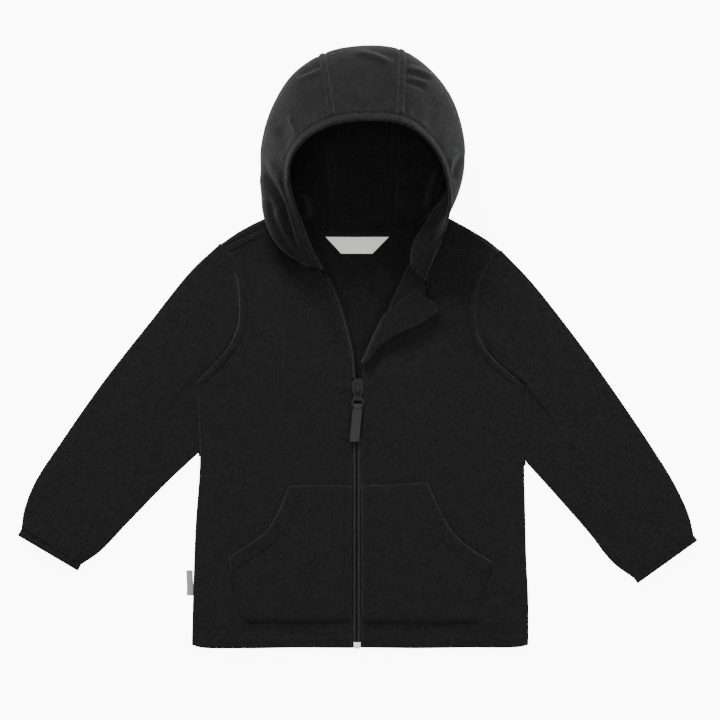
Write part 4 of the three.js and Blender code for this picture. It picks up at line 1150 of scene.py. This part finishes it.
neck_facings = [
    make_neck_facing("neck_facing_right", [(-84, 412, 0), (-62, 416, 0), (-45, 413.5, 0), (-30, 411, 0)],
                     [(-82, 424, 1), (-64, 428, 0.8), (-50, 424, 0.5), (-30, 416, 0.2)]),
    make_neck_facing("neck_facing_left", [(36, 410.5, 0), (52, 413.5, 0), (70, 417, 0), (86, 416, 0)],
                     [(36, 416.5, 0.2), (54, 424, 0.5), (72, 431, 0.8), (86, 430, 1)]),
    make_neck_facing("neck_wall_right", [(-80, 454, 0), (-77, 440, 0), (-73, 428, 0), (-69, 419, 0)],
                     [(-87, 455, 0.8), (-88.5, 441, 7.0), (-88, 431, 8.4), (-82, 420, 7.8)]),
    make_neck_facing("neck_wall_left", [(63, 427, 0), (72, 431, 0), (77, 425, 0), (75, 413, 0)],
                     [(62, 423.5, 1.2), (70.5, 427.5, 6.8), (73, 422.5, 10.6), (70, 411, 10.6)]),
]
print("neck facings:", [len(o.data.polygons) for o in neck_facings])

# %% [markdown]
# ## Finishes
# Fleece is a knit whose surface is brushed into a fine nap. Close to, it is a field of tiny tufts with
# slow patches where the nap leans another way. One shared node group makes both: tufts for the bump,
# patches for the colour. It is placed in the fleece material with its own values. Metal, nylon and rubber
# share a second group, which wears their outward edges a little paler and varies their roughness with a fine
# grain.

# %% Shared groups
def socket(group, name, kind, way, value=None):
    item = group.interface.new_socket(name=name, in_out=way, socket_type=kind)
    if value is not None:
        item.default_value = value
    return item


def sockets(group, rows):
    """Sockets of a group from rows of name, kind (Color or Float), and a first value for an input."""
    for name, kind, *value in rows:
        socket(group, name, f"NodeSocket{kind}", "INPUT" if value else "OUTPUT", *value)


def set_values(item, values):
    for name, value in values.items():
        item.inputs[name].default_value = value


def link(tree, a, b):
    tree.links.new(a, b)


def node(tree, kind, place=(0, 0), **values):
    made = tree.nodes.new(kind)
    made.location = place
    for key, value in values.items():
        setattr(made, key, value)
    return made


def noise(tree, vector, scale, detail, rough, place, warp=0.0):
    made = node(tree, "ShaderNodeTexNoise", place)
    set_values(made, {"Detail": detail, "Roughness": rough, "Distortion": warp})
    link(tree, vector, made.inputs["Vector"])
    if isinstance(scale, (int, float)):
        made.inputs["Scale"].default_value = scale
    else:
        link(tree, scale, made.inputs["Scale"])
    return made


def maths(tree, operation, a, b, place):
    made = node(tree, "ShaderNodeMath", place, operation=operation)
    for slot, value in zip(made.inputs, (a, b)):
        if isinstance(value, (int, float)):
            slot.default_value = value
        else:
            link(tree, value, slot)
    return made.outputs[0]


def nap_group():
    """Tufts and patches of a brushed knit, from the place in the object."""
    group = bpy.data.node_groups.new("brushed_nap", "ShaderNodeTree")
    sockets(group, (
        ("Base", "Color", (0.02, 0.02, 0.022, 1)), ("Tip", "Color", (0.05, 0.05, 0.053, 1)),
        ("Tufts per metre", "Float", 900.0), ("Patches per metre", "Float", 38.0),
        ("Patch share", "Float", 0.35),
        ("Color", "Color"), ("Height", "Float"), ("Roughness", "Float"),
    ))
    put, get = node(group, "NodeGroupInput", (-900, 0)), node(group, "NodeGroupOutput", (700, 0))
    place = node(group, "ShaderNodeTexCoord", (-1100, -200)).outputs["Object"]
    fine = noise(group, place, put.outputs["Tufts per metre"], 3.0, 0.65, (-600, 200), 0.4)
    half = maths(group, "MULTIPLY", put.outputs["Tufts per metre"], 0.5, (-750, -50))
    clump = noise(group, place, half, 2.0, 0.55, (-600, -50), 0.8)
    patch_noise = noise(group, place, put.outputs["Patches per metre"], 2.0, 0.5, (-600, -300), 0.3)
    mixed = maths(group, "ADD", maths(group, "MULTIPLY", fine.outputs["Fac"], 0.6, (-380, 200)),
                  maths(group, "MULTIPLY", clump.outputs["Fac"], 0.4, (-380, 0)), (-200, 120))
    tuft = node(group, "ShaderNodeMapRange", (-20, 200))
    set_values(tuft, {"From Min": 0.36, "From Max": 0.66})
    link(group, mixed, tuft.inputs["Value"])
    patchy = node(group, "ShaderNodeMapRange", (-380, -300))
    set_values(patchy, {"From Min": 0.35, "From Max": 0.65})
    link(group, patch_noise.outputs["Fac"], patchy.inputs["Value"])
    lean = maths(group, "MULTIPLY", patchy.outputs["Result"], put.outputs["Patch share"], (-180, -300))
    tufted = maths(group, "MULTIPLY", tuft.outputs["Result"], 0.62, (160, 60))
    share = maths(group, "ADD", tufted, lean, (320, 0))
    blend = node(group, "ShaderNodeMix", (480, 120), data_type="RGBA")
    link(group, share, blend.inputs["Factor"])
    link(group, put.outputs["Base"], blend.inputs["A"])
    link(group, put.outputs["Tip"], blend.inputs["B"])
    link(group, blend.outputs["Result"], get.inputs["Color"])
    link(group, mixed, get.inputs["Height"])
    gloss = maths(group, "MULTIPLY", tuft.outputs["Result"], 0.12, (160, -160))
    link(group, maths(group, "SUBTRACT", 1.0, gloss, (320, -200)), get.inputs["Roughness"])
    return group


def wear_group():
    """A mask for outward edges and fine scratches of a hard finish, mixed into its colour."""
    group = bpy.data.node_groups.new("edge_wear", "ShaderNodeTree")
    sockets(group, (
        ("Base", "Color", (0.03, 0.03, 0.03, 1)), ("Worn", "Color", (0.2, 0.2, 0.2, 1)),
        ("Amount", "Float", 0.5), ("Plain roughness", "Float", 0.35),
        ("Color", "Color"), ("Roughness", "Float"), ("Height", "Float"),
    ))
    put, get = node(group, "NodeGroupInput", (-700, 0)), node(group, "NodeGroupOutput", (600, 0))
    place = node(group, "ShaderNodeTexCoord", (-900, -200)).outputs["Object"]
    point = node(group, "ShaderNodeNewGeometry", (-900, 200)).outputs["Pointiness"]
    ridge = node(group, "ShaderNodeMapRange", (-500, 200))
    set_values(ridge, {"From Min": 0.52, "From Max": 0.62})
    link(group, point, ridge.inputs["Value"])
    grain = noise(group, place, 1400.0, 3.0, 0.6, (-500, -100))
    broken = maths(group, "MULTIPLY", ridge.outputs["Result"], grain.outputs["Fac"], (-280, 150))
    worn = maths(group, "MULTIPLY", broken, put.outputs["Amount"], (-100, 150))
    blend = node(group, "ShaderNodeMix", (200, 150), data_type="RGBA")
    link(group, worn, blend.inputs["Factor"])
    link(group, put.outputs["Base"], blend.inputs["A"])
    link(group, put.outputs["Worn"], blend.inputs["B"])
    link(group, blend.outputs["Result"], get.inputs["Color"])
    centred = maths(group, "SUBTRACT", grain.outputs["Fac"], 0.5, (-280, -100))
    uneven = maths(group, "MULTIPLY", centred, 0.25, (-100, -100))
    rough = maths(group, "ADD", put.outputs["Plain roughness"], uneven, (200, -60))
    link(group, rough, get.inputs["Roughness"])
    link(group, grain.outputs["Fac"], get.inputs["Height"])
    return group


NAP, WEAR = nap_group(), wear_group()
print("shared groups:", NAP.name, WEAR.name)

# %% [markdown]
# ## Materials
# Polyester fleece scatters light from its fibre tips, so it carries a soft grey sheen over near-black
# cloth. The zip's coil is smoother nylon, the slider dark enamelled metal, the box at the hem bare
# metal, the pull tab matt rubber, the neck label satin and the side tag a woven ribbon.

# %% Cloth materials
def bumped(tree, shader, height, strength, distance):
    bump = node(tree, "ShaderNodeBump", (200, -300))
    set_values(bump, {"Strength": strength, "Distance": distance})
    link(tree, height, bump.inputs["Height"])
    link(tree, bump.outputs["Normal"], shader.inputs["Normal"])


def start_material(name):
    material = bpy.data.materials.new(name)
    material.use_nodes = True
    tree = material.node_tree
    return material, tree, tree.nodes["Principled BSDF"]


def fleece_material(name, base, tip, tufts, patches, share, strength, sheen):
    material, tree, shader = start_material(name)
    nap = node(tree, "ShaderNodeGroup", (-300, 0), node_tree=NAP)
    set_values(nap, {"Base": (*base, 1), "Tip": (*tip, 1), "Tufts per metre": tufts,
                     "Patches per metre": patches, "Patch share": share})
    link(tree, nap.outputs["Color"], shader.inputs["Base Color"])
    link(tree, nap.outputs["Roughness"], shader.inputs["Roughness"])
    bumped(tree, shader, nap.outputs["Height"], strength, 0.0016)
    set_values(shader, {"Sheen Weight": sheen, "Sheen Roughness": 0.45, "Sheen Tint": (0.86, 0.86, 0.88, 1),
                        "Specular IOR Level": 0.12})
    return material


def ribbed_material(name, base, tip, ribs, strength, sheen, roughness=0.6, gloss=0.4):
    """A woven ribbon: fine ribs across it and a finer thread along it."""
    material, tree, shader = start_material(name)
    place = node(tree, "ShaderNodeTexCoord", (-900, 0)).outputs["Object"]
    ribs_x = node(tree, "ShaderNodeTexWave", (-650, 150), bands_direction="X")
    ribs_y = node(tree, "ShaderNodeTexWave", (-650, -150), bands_direction="Y")
    for wave, scale in ((ribs_x, ribs), (ribs_y, ribs * 0.8)):
        set_values(wave, {"Scale": scale, "Distortion": 0.6})
        link(tree, place, wave.inputs["Vector"])
    weave = maths(tree, "MULTIPLY", ribs_x.outputs["Fac"], ribs_y.outputs["Fac"], (-400, 0))
    blend = node(tree, "ShaderNodeMix", (-150, 100), data_type="RGBA")
    set_values(blend, {"A": (*base, 1), "B": (*tip, 1)})
    link(tree, weave, blend.inputs["Factor"])
    link(tree, blend.outputs["Result"], shader.inputs["Base Color"])
    bumped(tree, shader, weave, strength, 0.0003)
    set_values(shader, {"Roughness": roughness, "Sheen Weight": sheen, "Specular IOR Level": gloss})
    return material


def hard_material(name, base, worn, amount, roughness, metal, gloss=0.5):
    material, tree, shader = start_material(name)
    wear = node(tree, "ShaderNodeGroup", (-300, 0), node_tree=WEAR)
    set_values(wear, {"Base": (*base, 1), "Worn": (*worn, 1), "Amount": amount, "Plain roughness": roughness})
    link(tree, wear.outputs["Color"], shader.inputs["Base Color"])
    link(tree, wear.outputs["Roughness"], shader.inputs["Roughness"])
    bumped(tree, shader, wear.outputs["Height"], 0.08, 0.0002)
    set_values(shader, {"Metallic": metal, "Coat Weight": 0.0, "Coat Roughness": 0.25,
                        "Specular IOR Level": gloss})
    return material


FLEECE = fleece_material("fleece_black", (0.0015, 0.0015, 0.0016), (0.012, 0.012, 0.0125), tufts=820.0,
                         patches=110.0, share=0.12, strength=1.0, sheen=0.1)
THREAD = ribbed_material("thread_black", (0.0015, 0.0015, 0.0016), (0.006, 0.006, 0.0063),
                         900, 0.5, 0.0, 0.9, 0.1)
TAPE = ribbed_material("zip_tape_knit", (0.002, 0.002, 0.0022), (0.008, 0.008, 0.0085),
                       520, 0.6, 0.0, 0.85, 0.15)
SATIN = ribbed_material("label_satin", (0.74, 0.74, 0.72), (0.86, 0.86, 0.84), 700, 0.25, 0.1, 0.42)
WOVEN = ribbed_material("tag_woven", (0.20, 0.20, 0.205), (0.42, 0.42, 0.425), 620, 0.8, 0.1, 0.7)
NYLON = hard_material("coil_nylon", (0.004, 0.004, 0.0043), (0.02, 0.02, 0.021), 0.5, 0.5, 0.0, 0.22)
ENAMEL = hard_material("slider_enamel", (0.004, 0.004, 0.0042), (0.02, 0.02, 0.021), 0.5, 0.46, 0.1, 0.14)
BRIGHT = hard_material("retainer_metal", (0.46, 0.46, 0.47), (0.8, 0.8, 0.8), 0.6, 0.3, 0.85)
RUBBER = hard_material("tab_rubber", (0.009, 0.009, 0.0095), (0.022, 0.022, 0.023), 0.5, 0.55, 0.0, 0.22)
print("materials:", len(bpy.data.materials))

# %% [markdown]
# ## Zip
# The zip is a nylon coil on a knitted tape. A coil's teeth are loops of one bent wire, so from above each
# side is a row of short rounded bars with a head at the middle, and the two rows sit half a pitch apart.
# Every tooth is the same small mesh, turned and moved along the front edge, and a row is one joined mesh.

# %% Zip rows
COIL = {"near": 0.6, "far": 4.7, "low": 0.1, "high": 2.0, "pitch": 1.55}
TOOTH_RADIUS, TOOTH_HEAD, TOOTH_HEAD_WIDER, TOOTH_TALLER = 0.62, 2.9, 1.12, 1.35
THREAD_PLACE, THREAD_RADIUS, THREAD_BELOW, THREAD_STEP, THREAD_SIDES = 1.7, 0.32, 0.45, 2.0, 10
ZIP_START, ZIP_END, CLOSED_TOP, OPEN_TOP = 6.4, 376.0, 251.5, 269.0


def capsule(length, radius, sides, rings):
    """A rounded bar along X from 0 to length, as points and quads."""
    ends = np.linspace(0, np.pi / 2, rings + 1)
    xs = np.concatenate([radius * (1 - np.cos(ends)), length - radius * (1 - np.cos(ends[::-1]))])
    rs = np.concatenate([radius * np.sin(ends), radius * np.sin(ends[::-1])])
    rs = np.maximum(rs, 0.02 * radius)
    a = np.linspace(0, 2 * np.pi, sides, endpoint=False)
    round_x = np.repeat(xs[:, None], sides, 1)
    points = np.stack([round_x, rs[:, None] * np.cos(a), rs[:, None] * np.sin(a)], axis=-1)
    quads = skin(len(xs), sides, True)
    caps = []
    top = (len(xs) - 1) * sides
    for k in range(sides // 2 - 1):
        caps.append([k, k + 1, sides - 2 - k, sides - 1 - k])
        caps.append([top + sides - 1 - k, top + sides - 2 - k, top + k + 1, top + k])
    quads = np.concatenate([quads, np.array(caps)])
    return points.reshape(-1, 3), quads


def scatter(name, shape, places, along, up):
    """One joined mesh of a shape set at each place, its X along and its Z up."""
    points, quads = shape
    along = along / np.maximum(np.linalg.norm(along, axis=1, keepdims=True), 1e-9)
    across = np.cross(up, along)
    across /= np.maximum(np.linalg.norm(across, axis=1, keepdims=True), 1e-9)
    up = np.cross(along, across)
    turned = (points[None, :, :1] * along[:, None] + points[None, :, 1:2] * across[:, None]
              + points[None, :, 2:] * up[:, None]) + places[:, None]
    step = np.arange(len(places))[:, None, None] * len(points)
    return closed_object(name, turned.reshape(-1, 3), (quads[None] + step).reshape(-1, 4))


def front_edge(part, distances):
    """Points along a front's free edge and the way out from the cloth."""
    above = part["zip"] if part is RIGHT else [part["zip"][0]] + TURNED_ZIP
    closed = Curve([(ZIP_X + part["sign"] * ZIP_HALF, 0), above[0]])
    open_part = Curve(above)
    turn = above[0][1]

    def at(d):
        return np.where((d < turn)[:, None], closed.at(d / turn), open_part.at((d - turn) / open_part.length))

    d = np.asarray(distances, float)
    way = at(d + 0.5) - at(d - 0.5)
    way /= np.linalg.norm(way, axis=1, keepdims=True)
    return at(d), np.cross(way, [0, 0, -part["sign"]]), way


def edge_base(points):
    x, y = points[..., 0], points[..., 1]
    return mix(SIDE_TOP - CLOTH, open_base(x, y), hem_rise(y))


TOOTH = capsule(COIL["far"] - COIL["near"], TOOTH_RADIUS, sides=8, rings=3)
TOOTH[0][TOOTH[0][:, 0] > TOOTH_HEAD, 1] *= TOOTH_HEAD_WIDER
TOOTH[0][:, 2] *= TOOTH_TALLER


def coil_row(name, part, first, last, node):
    count = int((last - first) / COIL["pitch"])
    shift = 0 if part is RIGHT else COIL["pitch"] / 2
    d = first + shift + np.arange(count) * COIL["pitch"]
    points, out, _ = front_edge(part, d)
    start = points + out * COIL["near"]
    start[:, 2] = edge_base(start) + (COIL["low"] + COIL["high"]) / 2
    up = np.tile([0.0, 0.0, 1.0], (count, 1))
    row = scatter(name, TOOTH, start, out, up)
    return piece(row, "zip_coil", node)


def coil_thread(name, part, first, last):
    """The round thread that holds a row of teeth, along the edge of the cloth."""
    points, out, _ = front_edge(part, np.arange(first, last, THREAD_STEP))
    centre = points + out * THREAD_PLACE
    centre[:, 2] = edge_base(centre) + COIL["high"] - THREAD_BELOW
    a = np.linspace(0, 2 * np.pi, THREAD_SIDES, endpoint=False)
    rings = (centre[:, None] + THREAD_RADIUS * np.cos(a)[None, :, None] * out[:, None]
             + THREAD_RADIUS * np.sin(a)[None, :, None] * np.array([0, 0, 1.0]))
    return piece(rod_of(name, rings), "zip_coil")


coils = [
    coil_row("coil_right", RIGHT, ZIP_START, CLOSED_TOP, "zip_coil_right"),
    coil_row("coil_left", LEFT, ZIP_START, CLOSED_TOP, "zip_coil_left"),
    coil_row("coil_open", RIGHT, OPEN_TOP, ZIP_END - 2, "zip_coil_open"),
]
coil_threads = [
    coil_thread("coil_thread_right", RIGHT, ZIP_START, CLOSED_TOP),
    coil_thread("coil_thread_left", LEFT, ZIP_START, CLOSED_TOP),
    coil_thread("coil_thread_open", RIGHT, OPEN_TOP, ZIP_END - 3),
]


def make_top_stop():
    """The small clamp that ends the row of teeth."""
    points, out, way = front_edge(RIGHT, np.array([ZIP_END - 1.0]))
    start = points + out * 0.4 - way * 0.4
    start[:, 2] = edge_base(start) + 1.3
    shape = capsule(3.6, 0.95, sides=16, rings=5)
    shape[0][:, 2] *= 0.85
    return piece(scatter("top_stop", shape, start, out, np.array([[0.0, 0.0, 1.0]])), "dark_metal")


top_stop = make_top_stop()
print("teeth:", [len(o.data.vertices) // len(TOOTH[0]) for o in coils])

# %% [markdown]
# ## Zip tape and guard
# The tape lies under both front edges. The guard is a strip of fleece sewn over the inside of the zip,
# so it shows only where the left front turns back. There it lies on top, with a rounded upper end and a
# row of stitches along its inner edge.

# %% Tape and guard
def zip_strip(part, first, last, rows, columns, reach, low, high, lean=0.0):
    """Two faces of a strip that follows the free edge between two distances from it."""
    d = np.linspace(first, last, rows)
    points, out, way = front_edge(part, d)
    inner, outer = reach(d)
    share = np.linspace(0, 1, columns)
    spread = inner[:, None] + (outer - inner)[:, None] * share[None]
    ahead = lean * share[None] ** 1.5 * smooth(345, last, d)[:, None]
    grid_points = points[:, None] + out[:, None] * spread[..., None] + way[:, None] * ahead[..., None]
    base = edge_base(grid_points)
    if part is LEFT:
        return [roll_over(grid_points, base, rise + 0 * base) for rise in (low, high)]
    return [lift(grid_points, base + rise) for rise in (low, high)]


def make_tape(name, part, last, node):
    def reach(d):
        beside = (d > CLOSED_TOP) & (d < OPEN_TOP)
        return np.full(len(d), -9.0), np.where(beside, 0.2, 4.6)

    under, over = zip_strip(part, ZIP_START, last, 260, 14, reach, -SEAM - 0.8, -SEAM)
    return piece(shell(name, over, under, bulge=0.1), "zip_tape", node)


def make_guard():
    def reach(d):
        inside = mix(4, 9, smooth(290, 345, d))
        past = np.clip((d - 364) / 8, 0, 1)
        corner = 7 * (1 - np.sqrt(1 - past**2))
        return -inside, mix(4.8, 21, smooth(302, 358, d)) - corner

    def relief(points, d, share):
        stitch = 0.7 * bell((share - 0.62) * 24, 1.1) * (0.75 + 0.25 * np.cos(2 * np.pi * d / STITCH_PITCH))
        edge_roll = 0.35 * np.sin(np.pi * np.clip(share * 6, 0, 1))
        return 0.25 * ripple(points[..., 0], points[..., 1], 9) - stitch + edge_roll

    first, last, rows, columns = 284, ZIP_END - 4, 130, 30
    under, over = zip_strip(LEFT, first, last, rows, columns, reach, -3.0, -1.6, lean=10.0)
    d = np.linspace(first, last, rows)[:, None]
    share = np.linspace(0, 1, columns)[None]
    height = relief(under, d + 0 * under[..., 0], share + 0 * under[..., 0])
    away = normals_of(under)
    if np.mean(away[..., 2]) < 0:
        away = -away
    under = under + away * (0.35 * height)[..., None]
    return piece(shell("guard_cloth", under, over, bulge=0.4), "fleece", "zip_guard")


tapes = [
    make_tape("tape_right", RIGHT, ZIP_END, "zip_tape_right"),
    make_tape("tape_left", LEFT, OPEN_TOP, "zip_tape_left"),
]
guard = make_guard()
print("tape and guard faces:", [len(o.data.polygons) for o in tapes + [guard]])

# %% [markdown]
# ## Neck tape and labels
# A folded strip of cloth covers the back neck seam. Below it hangs a satin label with slanting ends, left
# bare, and a folded woven tag, also bare, comes out of the side seam.

# %% Neck tape and labels
def make_neck_tape():
    line = Curve(BACK_NECK).at(np.linspace(0, 1, 260))
    kept = line[(line[:, 0] > -44) & (line[:, 0] < 56)]
    share = np.linspace(0, 1, 11)
    low = CLOTH + SEAM
    points = kept[:, None] + np.stack([0 * share, mix(-1.2, 6.8, share), 0 * share], axis=-1)[None]
    x = points[..., 0]
    dome = 0.45 * np.sin(np.pi * share) ** 0.5
    rows_sewn = 0.25 * (bell(share - 0.1, 0.05) + bell(share - 0.9, 0.05))
    sewn = rows_sewn * (0.75 + 0.25 * np.cos(2 * np.pi * x / STITCH_PITCH))
    top = low + 0.8 + dome[None] - sewn + 0.1 * ripple(x, points[..., 1], 7)
    obj = shell("neck_tape_cloth", lift(points, top), lift(points, low + 0 * top), bulge=0.3)
    return piece(obj, "fleece", "neck_tape")


def make_label():
    plan = patch(
        edge(([(-16, 392.5), (15, 392.5)], 1)), edge(([(-31.5, 409.2), (0, 409.0), (31.5, 409.2)], 1)),
        edge(([(-16, 392.5), (-31.5, 409.2)], 1)), edge(([(15, 392.5), (31.5, 409.2)], 1)),
    )
    u, v = grid(80, 20)
    points = plan(u, v)
    low = CLOTH + SEAM
    wave = 0.5 * (1 - v) ** 2 * (0.5 + 0.5 * np.sin(u * 7 + 1))
    lifted = wave + 0.1 * ripple(points[..., 0], points[..., 1], 6)
    top = low + 0.5 + 0.9 * np.sin(np.pi * u) ** 2 * (1 - v) + lifted
    sewn = 0.3 * bell((v - 0.93) * 16, 0.5)
    under = lift(points, np.maximum(low, top - 0.45))
    obj = shell("neck_label_satin", lift(points, top - sewn), under, bulge=0.1)
    return piece(obj, "label_satin", "neck_label")


def make_tag():
    u, v = grid(14, 56)
    x = mix(-170.0, -163.8, u)
    y = mix(52.0, 77.0, v)
    points = np.stack([x + 0.25 * np.sin(v * 5), y, 0 * x], axis=-1)
    curl = 0.9 * (1 - u) ** 2 * (0.4 + 0.6 * np.sin(v * 3.0))
    fold_edge = 0.12 * (bell(v - 0.02, 0.03) + bell(v - 0.98, 0.03))
    top = 0.8 + curl + fold_edge
    obj = shell("side_tag_woven", lift(points, top), lift(points, np.maximum(0, top - 0.8)), bulge=0.15)
    return piece(obj, "tag_woven", "side_tag")


labels = [make_neck_tape(), make_label(), make_tag()]
print("labels:", [o.name for o in labels])

# %% [markdown]
# ## Stitches
# A lockstitch shows as short rounded dashes of thread, about three millimetres apart, each sunk in the
# groove that it pulls into the nap. The dashes are dropped straight down on the finished cloth, or laid on
# the nearest place of a standing surface, so they follow every fold.

# %% Stitches
STITCH = {"pitch": STITCH_PITCH, "length": 2.3, "radius": 0.26, "sunk": 0.12}
DROP_FROM, NEAREST = 0.2, 0.01


def tree_of(*objects):
    points, faces = [], []
    for obj in objects:
        start = len(points)
        points += [v.co.copy() for v in obj.data.vertices]
        faces += [[start + k for k in p.vertices] for p in obj.data.polygons]
    return BVHTree.FromPolygons(points, faces)


def sew(name, tree, lines, drop=True):
    """Stitches along lines of points, set on the surface below or nearest to them."""
    pitch = STITCH["pitch"]
    places, ways, ups = [], [], []
    for line in lines:
        line = np.concatenate([line, np.zeros((len(line), 3 - line.shape[1]))], axis=1)
        length = np.concatenate([[0], np.cumsum(np.linalg.norm(np.diff(line, axis=0), axis=1))])
        stops = np.arange(pitch / 2, length[-1] - pitch / 2, pitch)
        at = [np.stack([np.interp(stops + s, length, line[:, k]) for k in range(3)], axis=1)
              for s in (0, STITCH["length"])]
        for a, b in zip(*at):
            ends = []
            for p in (a, b):
                q = Vector((p * MM + ORIGIN).tolist())
                if drop:
                    hit, normal, _, _ = tree.ray_cast(Vector((q.x, q.y, DROP_FROM)), Vector((0, 0, -1)))
                else:
                    hit, normal, _, _ = tree.find_nearest(q, NEAREST)
                ends.append((hit, normal))
            if ends[0][0] is None or ends[1][0] is None:
                continue
            (p, up), (q, _) = ends
            p, q = ((np.array(x) - ORIGIN) / MM for x in (p, q))
            if np.linalg.norm(q - p) > 1.6 * STITCH["length"]:
                continue
            up = np.array(up)
            places.append(p - up * STITCH["sunk"])
            ways.append(q - p)
            ups.append(up)
    shape = capsule(STITCH["length"], STITCH["radius"], sides=6, rings=2)
    shape[0][:, 2] *= 0.8
    obj = scatter(name, shape, np.array(places), np.array(ways), np.array(ups))
    print(name, len(places), "stitches")
    return piece(obj, "fleece")


def body_lines(part, free):
    sign = part["sign"]
    hem = line_of(part["hem"])
    hem = hem[np.abs(hem[:, 0]) > 16]
    armhole = shifted(line_of(part["armhole"]), sign * ARMHOLE_TURN)
    inside = shifted(free, sign * -TURN_IN)
    inside = inside[inside[:, 1] > 20]
    return [hem + (0, above) for above in HEM_STITCHES] + [armhole[4:-8], inside[:-6]]


def pocket_lines(key):
    part = POCKETS[key]
    sign = -1 if key == "right" else 1
    edges = pocket_edges(part)
    return [shifted(edges["opening"], FACING_WIDTH * sign)[3:-3],
            shifted(edges["bottom"], sign * -2.0)[3:-3],
            shifted(edges["outside"], sign * 2.0)[3:-2],
            shifted(edges["top"], sign * 2.0)[3:-3]]


threads = []
SIDES = (("right", RIGHT, front_right, free_right), ("left", LEFT, front_left, free_left))
for key, part, front, free in SIDES:
    lines = body_lines(part, free)
    if part is LEFT:
        lines[3] = lines[3][lines[3][:, 1] < 262]
    threads.append(sew(f"front_{key}_stitches", tree_of(front, pockets[key]), lines))
    threads.append(sew(f"pocket_{key}_stitches", tree_of(pockets[key]), pocket_lines(key)))
for key, part, obj in (("right", RIGHT, shoulders[0]), ("left", LEFT, shoulders[1])):
    way = edge((part["shoulder"], 1))(np.linspace(0, 1, 80))[:, :2]
    threads.append(sew(f"shoulder_{key}_stitches", tree_of(obj), [shifted(way, part["sign"] * -6.2)]))
stations = np.linspace(0.012, 0.988, 400)
bind_line, _ = hood_grid(stations, lambda n: (BIND_STITCH / n)[None, :])
threads.append(sew("binding_stitches", tree_of(binding), [bind_line[0]], drop=False))
CROWN_STITCH_AWAY = 0.0118
crown = []
for seam, side in zip(CROWN_SEAMS, (-1, 1)):
    beside = np.array([seam + side * CROWN_STITCH_AWAY])
    seam_line, _ = hood_grid(beside, lambda n: np.linspace(0.1, 0.7, 160)[:, None])
    crown.append(seam_line[:, 0])
threads.append(sew("crown_stitches", tree_of(*hood), crown, drop=False))
threads.append(sew("neck_tape_stitches", tree_of(labels[0]), [
    line_of([(-42, 412.4), (-26, 412.6), (2, 411.2), (33, 412.6), (54, 415.8)]),
    line_of([(-42, 418.6), (-26, 416.9), (2, 415.8), (33, 417.2), (54, 419.6)]),
]))

# %% [markdown]
# ## Cut sizes of the cloth pieces
# Each cut panel's size is printed: the size that its cloth was cut to, which is the size of the finished
# panel measured along its own surface, and its area.

# %% Sheets
LEAST_WIDTH = 0.0101


def laid(obj, *rests_on, held="laid", go_with=()):
    width, length, area = CUT_SIZES[obj.name]
    width, length = max(width, LEAST_WIDTH), max(length, LEAST_WIDTH)
    print(f"{obj.name}: {width:.3f} x {length:.3f} m, {area:.4f} m2")


named = {obj.name: obj for obj, _ in PIECES.values()}
laid(back, go_with=[named["neck_tape_stitches"]])
for side, front, shoulder in (("right", front_right, shoulders[0]), ("left", front_left, shoulders[1])):
    laid(front, "back_cloth", held="folded" if side == "left" else "laid", go_with=[
        named[f"front_{side}_stitches"], named[f"armhole_roll_{side}"], named[f"side_roll_{side}"]])
    laid(shoulder, "back_cloth", held="folded", go_with=[named[f"shoulder_{side}_stitches"]])
    laid(sleeves[side])
    laid(cuffs[side], held="gathered")
    laid(pockets[side], f"front_{side}_cloth", go_with=[named[f"pocket_{side}_stitches"]])
for panel in hood:
    laid(panel, "back_cloth", held="folded", go_with=[named["crown_stitches"]] if panel is hood[1] else [])
laid(binding, "hood_right_cloth", "hood_left_cloth", held="folded", go_with=[named["binding_stitches"]])
for panel in neck_facings + labels[:2]:
    laid(panel, "back_cloth")
laid(labels[2])
laid(tapes[0], "front_right_cloth", go_with=[coils[0], coils[2], coil_threads[0], coil_threads[2], top_stop])
laid(tapes[1], "front_left_cloth", go_with=[coils[1], coil_threads[1]])
laid(guard, "front_left_cloth", held="folded")

# %% [markdown]
# ## Put the finishes on
# Each new piece takes the material of its slot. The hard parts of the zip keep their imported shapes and
# only change material.

# %% Assign
BY_SLOT = {
    "fleece": FLEECE, "zip_tape": TAPE, "zip_coil": NYLON, "dark_metal": ENAMEL, "bright_metal": BRIGHT,
    "tab_rubber": RUBBER, "label_satin": SATIN, "tag_woven": WOVEN,
}


def dress(obj, material):
    obj.data.materials.clear()
    obj.data.materials.append(material)


for obj, slot in PIECES.values():
    dress(obj, THREAD if obj.name.endswith("_stitches") else BY_SLOT[slot])
HARD_PARTS = {"zip_slider": ENAMEL, "zip_pull": ENAMEL, "zip_retainer": BRIGHT, "pull_tab": RUBBER}
for name, material in HARD_PARTS.items():
    for spot in bpy.data.objects[name].material_slots:
        spot.material = material
print("dressed", len(PIECES), "pieces")
